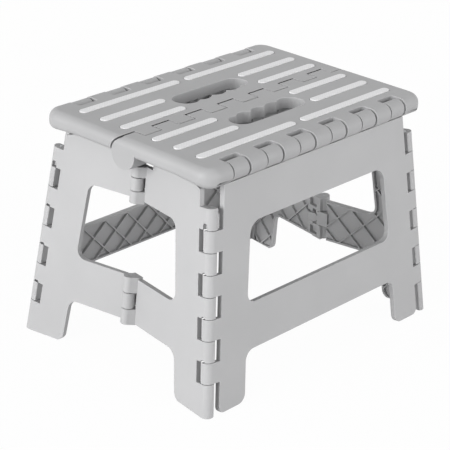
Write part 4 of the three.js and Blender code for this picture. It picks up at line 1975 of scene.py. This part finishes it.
@dataclass
class EndPanels:
    """The four end panel halves with their corner and middle hinge knuckles."""

    top: float = 201.7
    top_inner: float = 204.3
    top_slope_end: float = 60.0
    knuckle_flat: float = 4.2
    notch_width: float = 5.2
    notch_height: float = 2.2
    top_notch_height: float = 6.0
    notch_depth: float = 3.4
    notch_round_share: float = 0.8
    notch_reach: float = 17.0
    notch_gap: float = 0.8
    window_top: float = 159.1
    window_bottom: float = 86.3
    window_top_reach: float = 53.5
    window_bottom_reach: float = 62.5
    window_radius: float = 9.0
    arch_top: float = 43.4
    arch_top_reach: float = 66.7
    arch_foot_reach: float = 72.4
    arch_radius: float = 10.0
    foot_radius: float = 9.0
    barrel_radius: float = 5.8
    relief: float = 7.4
    neck_run: float = 8.4
    strap: float = 12.4
    free_strap: float = 4.6
    block_reach: float = 3.6
    seam: float = 0.8
    pocket_wall: float = 1.0
    pocket_width: float = 9.8
    pocket_height: float = 8.6
    pocket_depth: float = 3.6
    plate_reach: float = 13.5
    plate_size: float = 9.0
    plate_thickness: float = 2.2
    plate_notch: float = 2.2
    stray_clearance: float = 0.3
    stray_lobes: tuple[StrayLobe, ...] = (
        StrayLobe(1.64, 1.18, 2.15),
        StrayLobe(-0.27, -2.4, 2.42),
    )
    soft_edge: float = 0.4

    def outline(self, middle: float) -> list[Corner]:
        """The half panel's outline, counter-clockwise in the end frame's X and Z.

        Args:
            middle: How far from the stool's middle the bands end.

        Returns:
            The corners.
        """
        face = SIZES.on_end_face
        notch_top = SIZES.step_height - 2 * SIZES.centre_knuckle_radius - self.notch_gap

        def edge(height: float) -> Corner:
            """A place on the corner edge."""
            return Corner(SIZES.end_setback, face(SIZES.foot_width / 2, height)[1])

        return [
            edge(self.top),
            edge(0),
            Corner(*face(self.arch_foot_reach, 0), self.foot_radius),
            Corner(*face(self.arch_top_reach, self.arch_top), self.arch_radius),
            Corner(*face(middle, self.arch_top)),
            Corner(*face(middle, self.window_bottom)),
            Corner(
                *face(self.window_bottom_reach, self.window_bottom), self.window_radius
            ),
            Corner(*face(self.window_top_reach, self.window_top), self.window_radius),
            Corner(*face(middle, self.window_top)),
            Corner(*face(middle, notch_top)),
            Corner(*face(self.notch_reach, notch_top)),
            Corner(*face(self.notch_reach, self.top_inner)),
            Corner(*face(self.top_slope_end, self.top_inner)),
        ]

    def recess(self, strap: float) -> Solid:
        """What is taken out of the inner face between the rims and the lattice.

        Args:
            strap: How wide the plain part along the middle is.

        Returns:
            The recess as a solid.
        """
        start = SIZES.corner_barrel_radius - SIZES.panel_depth - OVERRUN
        end = SIZES.corner_barrel_radius - SIZES.panel_skin
        outline = inset(self.outline(strap), SIZES.panel_rim)
        ribs = diagonal_ribs(
            SIZES.on_end_face,
            SIZES.foot_width / 2,
            SIZES.step_height,
            start - OVERRUN,
            end + OVERRUN,
        )
        return Solid.prism(Axis.Y, outline, start, end).cut(*ribs)

    def knuckle(self, low: float, high: float) -> Solid:
        """A middle hinge's barrel on its block, in the middle hinge's frame.

        Args:
            low: Its lower end.
            high: Its upper end.

        Returns:
            The knuckle without its bore.
        """
        shoulder = self.barrel_radius * math.sin(math.pi / 4)
        back = SIZES.middle_back
        block = [
            Corner(-self.neck_run, back),
            Corner(self.block_reach, back),
            Corner(self.block_reach, 0),
            Corner(-shoulder, shoulder),
            Corner(-self.neck_run, -SIZES.middle_axis_offset),
        ]
        barrel = Solid.rod(Axis.Z, self.barrel_radius, low, high, sides=ROUND_SIDES)
        return barrel.join(Solid.prism(Axis.Z, block, low, high))

    def notches(self) -> Solid:
        """The small round-topped openings over the pin at the knuckles' lower ends.

        Returns:
            The openings as one solid, in the corner frame.
        """
        found = []
        last = SIZES.corner_knuckle_count - 1
        for i in range(1, last + 1, 2):
            floor = SIZES.corner_foot_height + i * SIZES.corner_knuckle_pitch
            low = along_axis(SIZES.corner_in_world, floor) - OVERRUN
            rise = self.top_notch_height if i == last else self.notch_height
            half = self.notch_width / 2
            outline = rectangle(
                (-half, half),
                (low, low + OVERRUN + rise),
                0.0,
                half * self.notch_round_share,
            )
            reach = SIZES.corner_barrel_radius
            found.append(
                Solid.prism(Axis.Y, outline, reach - self.notch_depth, reach + OVERRUN)
            )
        return Solid.apart(found)

    def pocket(self, middle: float) -> Solid:
        """The pocket in the back of a block, in the middle hinge's frame.

        Args:
            middle: The pocket's middle along the hinge.

        Returns:
            What is cut out.
        """
        back = SIZES.middle_back
        start = self.pocket_wall - self.strap
        half = self.pocket_height / 2
        return Solid.box(
            (start, back - OVERRUN, middle - half),
            (start + self.pocket_width, back + self.pocket_depth, middle + half),
        )

    def plate(self, low: float, high: float, grown: float) -> Solid:
        """The plate that reaches behind the other half's skin, in the middle hinge's frame.

        Args:
            low: The knuckle's lower end.
            high: The knuckle's upper end.
            grown: How much larger it is made, for the room the other half leaves it.

        Returns:
            The plate with its narrower neck.
        """
        back = SIZES.middle_back
        face = back + self.plate_thickness + grown
        near = back - (OVERRUN if grown else 0.0)
        centre = (low + high) / 2
        half = self.plate_size / 2 + grown
        head = self.plate_reach - self.plate_size
        plate = Solid.box(
            (head - grown, near, centre - half),
            (self.plate_reach + grown, face, centre + half),
        )
        thin = half - self.plate_notch
        neck = Solid.box((-OVERRUN, near, centre - thin), (head + grown, face, centre + thin))
        return neck.join(plate)

    def bores(self, low: float, high: float, carries_pins: bool) -> list[Solid]:
        """The bore of one knuckle, as solids to cut.

        Args:
            low: Where it starts.
            high: Where it ends.
            carries_pins: Whether the knuckle holds the pin or lets it stray.

        Returns:
            The solids.
        """
        if carries_pins:
            return [bore(Axis.Z, SIZES.middle_pin_radius, low, high)]
        lobes = []
        for lobe in self.stray_lobes:
            pin = lobe.reach + SIZES.middle_pin_radius
            radius = clear_radius(pin, self.stray_clearance, SMALL_SIDES)
            place = (lobe.along, lobe.out)
            lobes.append(Solid.rod(Axis.Z, radius, low, high, place, SMALL_SIDES))
        return lobes

    def hinged(self, panel: Solid, carries_pins: bool) -> tuple[Solid, list[Solid]]:
        """Gives a panel half its knuckles of the two middle hinges.

        Args:
            panel: The panel half in the end frame.
            carries_pins: Whether it is the half with two knuckles at each middle hinge.

        Returns:
            The panel half, and what was cut out of its back.
        """
        gap = SIZES.middle_side_gap / 2
        middle = SIZES.middle_in_end
        side, out = self.neck_run + OVERRUN, self.barrel_radius + OVERRUN
        for levels in SIZES.middle_levels():
            space = Solid.box(
                (-self.relief, SIZES.middle_back - OVERRUN, levels[0] - gap),
                (side, out, levels[-1] + gap),
            )
            panel = panel.cut(space.moved(middle))
        hollows = []
        for levels in SIZES.middle_levels():
            for i in range(0 if carries_pins else 1, len(levels) - 1, 2):
                low, high = levels[i] + gap, levels[i + 1] - gap
                blind = carries_pins and i == 0
                start = low + SIZES.block_pocket_wall if blind else low - OVERRUN
                knuckle = self.knuckle(low, high)
                if not carries_pins:
                    knuckle = knuckle.join(self.plate(low, high, 0.0))
                knuckle = knuckle.cut(*self.bores(start, high + OVERRUN, carries_pins))
                panel = panel.join(knuckle.moved(middle))
                if carries_pins:
                    hollows.append(self.pocket((low + high) / 2).moved(middle))
                    panel = panel.cut(hollows[-1])
            if carries_pins:
                for low, high in zip(levels[1::2], levels[2::2]):
                    room = self.plate(low, high, self.seam / 2).moved(MIRROR_X)
                    hollows.append(room.moved(middle))
                    panel = panel.cut(hollows[-1])
        return panel, hollows

    def half(self, carries_pins: bool) -> Solid:
        """One end panel half in the end frame of the front left corner.

        Args:
            carries_pins: Whether it is the half with two knuckles at each middle hinge.

        Returns:
            The panel half.
        """
        face = SIZES.corner_barrel_radius
        inner = face - SIZES.panel_depth
        recess = self.recess(self.strap if carries_pins else self.free_strap)
        reach = SIZES.foot_length
        past = Solid.box((-reach, -self.seam / 2, -reach), (reach, reach, reach))
        panel = Solid.prism(Axis.Y, self.outline(0.0), inner, face)
        panel = panel.cut(recess, past.moved(SIZES.end_in_world.inverted()))
        panel, hollows = self.hinged(panel, carries_pins)
        knuckles = [
            corner_knuckle(
                i,
                SIZES.end_setback + SIZES.panel_rim / 2,
                face,
                inner,
                -OVERRUN,
                -self.knuckle_flat,
            )
            for i in range(-1, SIZES.corner_knuckle_count, 2)
        ]
        hinge = Solid.apart(knuckles).cut(corner_bore(), self.notches())
        panel = panel.join(hinge).cut(floor_block(SIZES.end_in_world))
        return panel.softened(self.soft_edge, sharp=Solid.apart([recess, *hollows]))

    def build(self, dresser: Dresser) -> None:
        """Builds the four halves.

        Args:
            dresser: Puts the pieces in place.
        """
        pinned = self.half(True).moved(SIZES.end_in_world)
        loose = self.half(False).moved(MIRROR_X @ SIZES.end_in_world)
        for side in Side:
            for solid, end in zip((pinned, loose), side.ends()):
                dresser.dress(
                    solid.moved(side.turn()),
                    f"end_moulding_{side.value}_{end}",
                    PANEL_PLASTIC,
                    f"end_{side.value}_{end}",
                    f"end_panel_{side.value}_{end}",
                )


# Pins


@dataclass
class HingePins:
    """The steel pins of every hinge."""

    chamfer: float = 0.25

    def pin(self, axis: Axis, radius: float, start: float, end: float) -> Solid:
        """A pin with chamfered ends.

        Args:
            axis: The axis it runs along.
            radius: Its radius.
            start: Where it starts.
            end: Where it ends.

        Returns:
            The pin.
        """
        rod = Solid.rod(axis, radius, start, end, sides=BORE_SIDES)
        return rod.softened(self.chamfer, 1)

    def build(self, dresser: Dresser) -> None:
        """Builds all the pins.

        Args:
            dresser: Puts the pieces in place.
        """
        reach = SIZES.seat_reach - SIZES.centre_disk_wall - FIT_GAP
        centre = self.pin(Axis.X, SIZES.centre_pin_radius, -reach, reach)
        dresser.dress(
            centre.moved(Matrix.Translation((0, 0, SIZES.centre_z))),
            "steel_pin_centre",
            PIN_STEEL,
            "seat_front",
            "centre_hinge_pin",
        )
        reach = SIZES.outer_run / 2 + SIZES.outer_pin_reach
        outer = self.pin(Axis.X, SIZES.outer_pin_radius, -reach, reach)
        corner_world = SIZES.corner_in_world
        corner = self.pin(
            Axis.Z,
            SIZES.corner_pin_radius,
            along_axis(corner_world, SIZES.corner_pin_floor),
            along_axis(corner_world, SIZES.corner_top) - FIT_GAP,
        ).moved(corner_world)
        for side in Side:
            turn = side.turn()
            dresser.dress(
                outer.moved(turn @ SIZES.side_frame),
                f"steel_pin_outer_{side.value}",
                PIN_STEEL,
                f"side_{side.value}",
                f"outer_hinge_pin_{side.value}",
            )
            for end, flip in zip(side.ends(), (Matrix.Identity(4), MIRROR_X)):
                dresser.dress(
                    corner.moved(turn @ flip),
                    f"steel_pin_corner_{side.value}_{end}",
                    PIN_STEEL,
                    f"side_{side.value}",
                    f"corner_pin_{side.value}_{end}",
                )
            pinned = side.ends()[0]
            for levels, level in zip(SIZES.middle_levels(), ("upper", "lower")):
                middle = self.pin(
                    Axis.Z,
                    SIZES.middle_pin_radius,
                    levels[0] + SIZES.block_pocket_wall + FIT_GAP,
                    levels[-1] - SIZES.middle_side_gap,
                )
                dresser.dress(
                    middle.moved(turn @ SIZES.middle_in_world),
                    f"steel_pin_end_{pinned}_{level}",
                    PIN_STEEL,
                    f"end_{side.value}_{pinned}",
                    f"end_hinge_pin_{pinned}_{level}",
                )


# Studio


@dataclass(frozen=True)
class Sun:
    """A far lamp. Its angle is how wide it looks, which makes its shadows soft."""

    azimuth: float
    elevation: float
    angle: float
    strength: float


@dataclass
class Studio:
    """The floor, the light and the camera."""

    camera_azimuth: float = -47.979
    camera_elevation: float = 24.225
    camera_roll: float = 2.315
    camera_distance: float = 1585.27
    camera_slide: Point = (-7.855, -12.345)
    look_height: float = 110.0
    focal_pixels: float = 1707.34
    picture_pixels: float = 450.0
    sensor_mm: float = 36.0
    floor_size: float = 9000.0
    nearest: float = 50.0
    farthest: float = 50000.0
    sky_strength: float = 0.55
    floor_white: float = 0.97
    floor_colour: str = "#e6e6e6"
    suns: tuple[Sun, ...] = (Sun(-100.0, 11.0, 45.0, 3.3), Sun(12.0, 7.0, 50.0, 1.9))

    def camera(self) -> None:
        """Puts the camera where the photograph was taken from."""
        azimuth = math.radians(self.camera_azimuth)
        elevation = math.radians(self.camera_elevation)
        roll = math.radians(self.camera_roll)
        back = Vector(
            (
                math.sin(azimuth) * math.cos(elevation),
                -math.cos(azimuth) * math.cos(elevation),
                math.sin(elevation),
            )
        )
        level = Vector((math.cos(azimuth), math.sin(azimuth), 0))
        rise = back.cross(level)
        right = level * math.cos(roll) + rise * math.sin(roll)
        up = rise * math.cos(roll) - level * math.sin(roll)
        target = Vector((0, 0, self.look_height))
        target += right * self.camera_slide[0] + up * self.camera_slide[1]
        place = (target + back * self.camera_distance) * MM
        lens = bpy.data.cameras.new("camera")
        lens.sensor_width = self.sensor_mm
        lens.sensor_fit = "HORIZONTAL"
        lens.lens = self.focal_pixels / self.picture_pixels * self.sensor_mm
        lens.clip_start = self.nearest * MM
        lens.clip_end = self.farthest * MM
        camera = bpy.data.objects.new("camera", lens)
        turn = Matrix((right, up, back)).transposed().to_4x4()
        camera.matrix_world = Matrix.Translation(place) @ turn
        bpy.context.scene.collection.objects.link(camera)
        bpy.context.scene.camera = camera

    def floor(self) -> None:
        """Lays a plain white floor that keeps a faint shadow."""
        bm = bmesh.new()
        bmesh.ops.create_grid(
            bm, x_segments=1, y_segments=1, size=self.floor_size / 2 * MM
        )
        floor = bpy.data.objects.new("floor", mesh_of(bm, "floor"))
        bpy.context.scene.collection.objects.link(floor)
        material, tree = new_material("white_studio_paper")
        share = add_node(
            tree,
            "ShaderNodeMath",
            {"operation": "MULTIPLY"},
            {0: self.seen(tree), 1: self.floor_white},
        )
        shade = linear(self.floor_colour)
        paper = add_node(tree, "ShaderNodeBsdfDiffuse", None, {"Color": shade})
        glow = add_node(
            tree,
            "ShaderNodeEmission",
            None,
            {"Color": linear(WHITE), "Strength": 1.0},
        )
        mix = add_node(
            tree,
            "ShaderNodeMixShader",
            None,
            {
                0: share.outputs["Value"],
                1: paper.outputs["BSDF"],
                2: glow.outputs["Emission"],
            },
        )
        surface = mix.outputs["Shader"]
        add_node(tree, "ShaderNodeOutputMaterial", None, {"Surface": surface})
        floor.data.materials.append(material)

    def seen(self, tree: bpy.types.NodeTree) -> bpy.types.NodeSocket:
        """Whether a ray shows the surroundings rather than lights the stool with them.

        Args:
            tree: The node tree of the floor or the sky.

        Returns:
            The socket, 1 for rays from the camera or by way of a gloss or a clear piece.
        """
        path = add_node(tree, "ShaderNodeLightPath")
        seen = path.outputs["Is Camera Ray"]
        for bounce in ("Is Glossy Ray", "Is Transmission Ray"):
            either = add_node(
                tree,
                "ShaderNodeMath",
                {"operation": "MAXIMUM"},
                {0: seen, 1: path.outputs[bounce]},
            )
            seen = either.outputs["Value"]
        return seen

    def light(self) -> None:
        """Sets two soft suns, a strong one from the left and a weak one from the front."""
        for i, sun in enumerate(self.suns):
            light = bpy.data.lights.new(f"sun_{i}", "SUN")
            light.energy = sun.strength
            light.angle = math.radians(sun.angle)
            lamp = bpy.data.objects.new(f"sun_{i}", light)
            turn = Matrix.Rotation(math.radians(sun.azimuth), 4, "Z")
            rise = Matrix.Rotation(math.pi / 2 - math.radians(sun.elevation), 4, "X")
            lamp.matrix_world = turn @ rise
            bpy.context.scene.collection.objects.link(lamp)

    def sky(self) -> None:
        """Makes an even sky that is seen as plain white."""
        world = bpy.data.worlds.new("studio")
        world.use_nodes = True
        tree = world.node_tree
        tree.nodes.clear()
        strength = add_node(
            tree,
            "ShaderNodeMix",
            {"data_type": "FLOAT"},
            {"Factor": self.seen(tree), "A": self.sky_strength, "B": 1.0},
        )
        background = add_node(
            tree,
            "ShaderNodeBackground",
            None,
            {"Color": linear(WHITE), "Strength": strength.outputs["Result"]},
        )
        surface = background.outputs["Background"]
        add_node(tree, "ShaderNodeOutputWorld", None, {"Surface": surface})
        bpy.context.scene.world = world

    def build(self) -> None:
        """Makes the camera, the floor and the lights."""
        self.camera()
        self.floor()
        self.light()
        self.sky()
        bpy.context.scene.view_settings.view_transform = "Standard"


def main() -> None:
    """Builds the stool's sub-assemblies in order."""
    logging.basicConfig(level=logging.INFO, format="%(name)s %(message)s")
    Studio().build()
    dresser = Dresser()
    for part in (Seat(), SidePanels(), HingeRails(), EndPanels(), HingePins()):
        part.build(dresser)
        log.info("%s done", type(part).__name__)


if __name__ == "__main__":
    main()
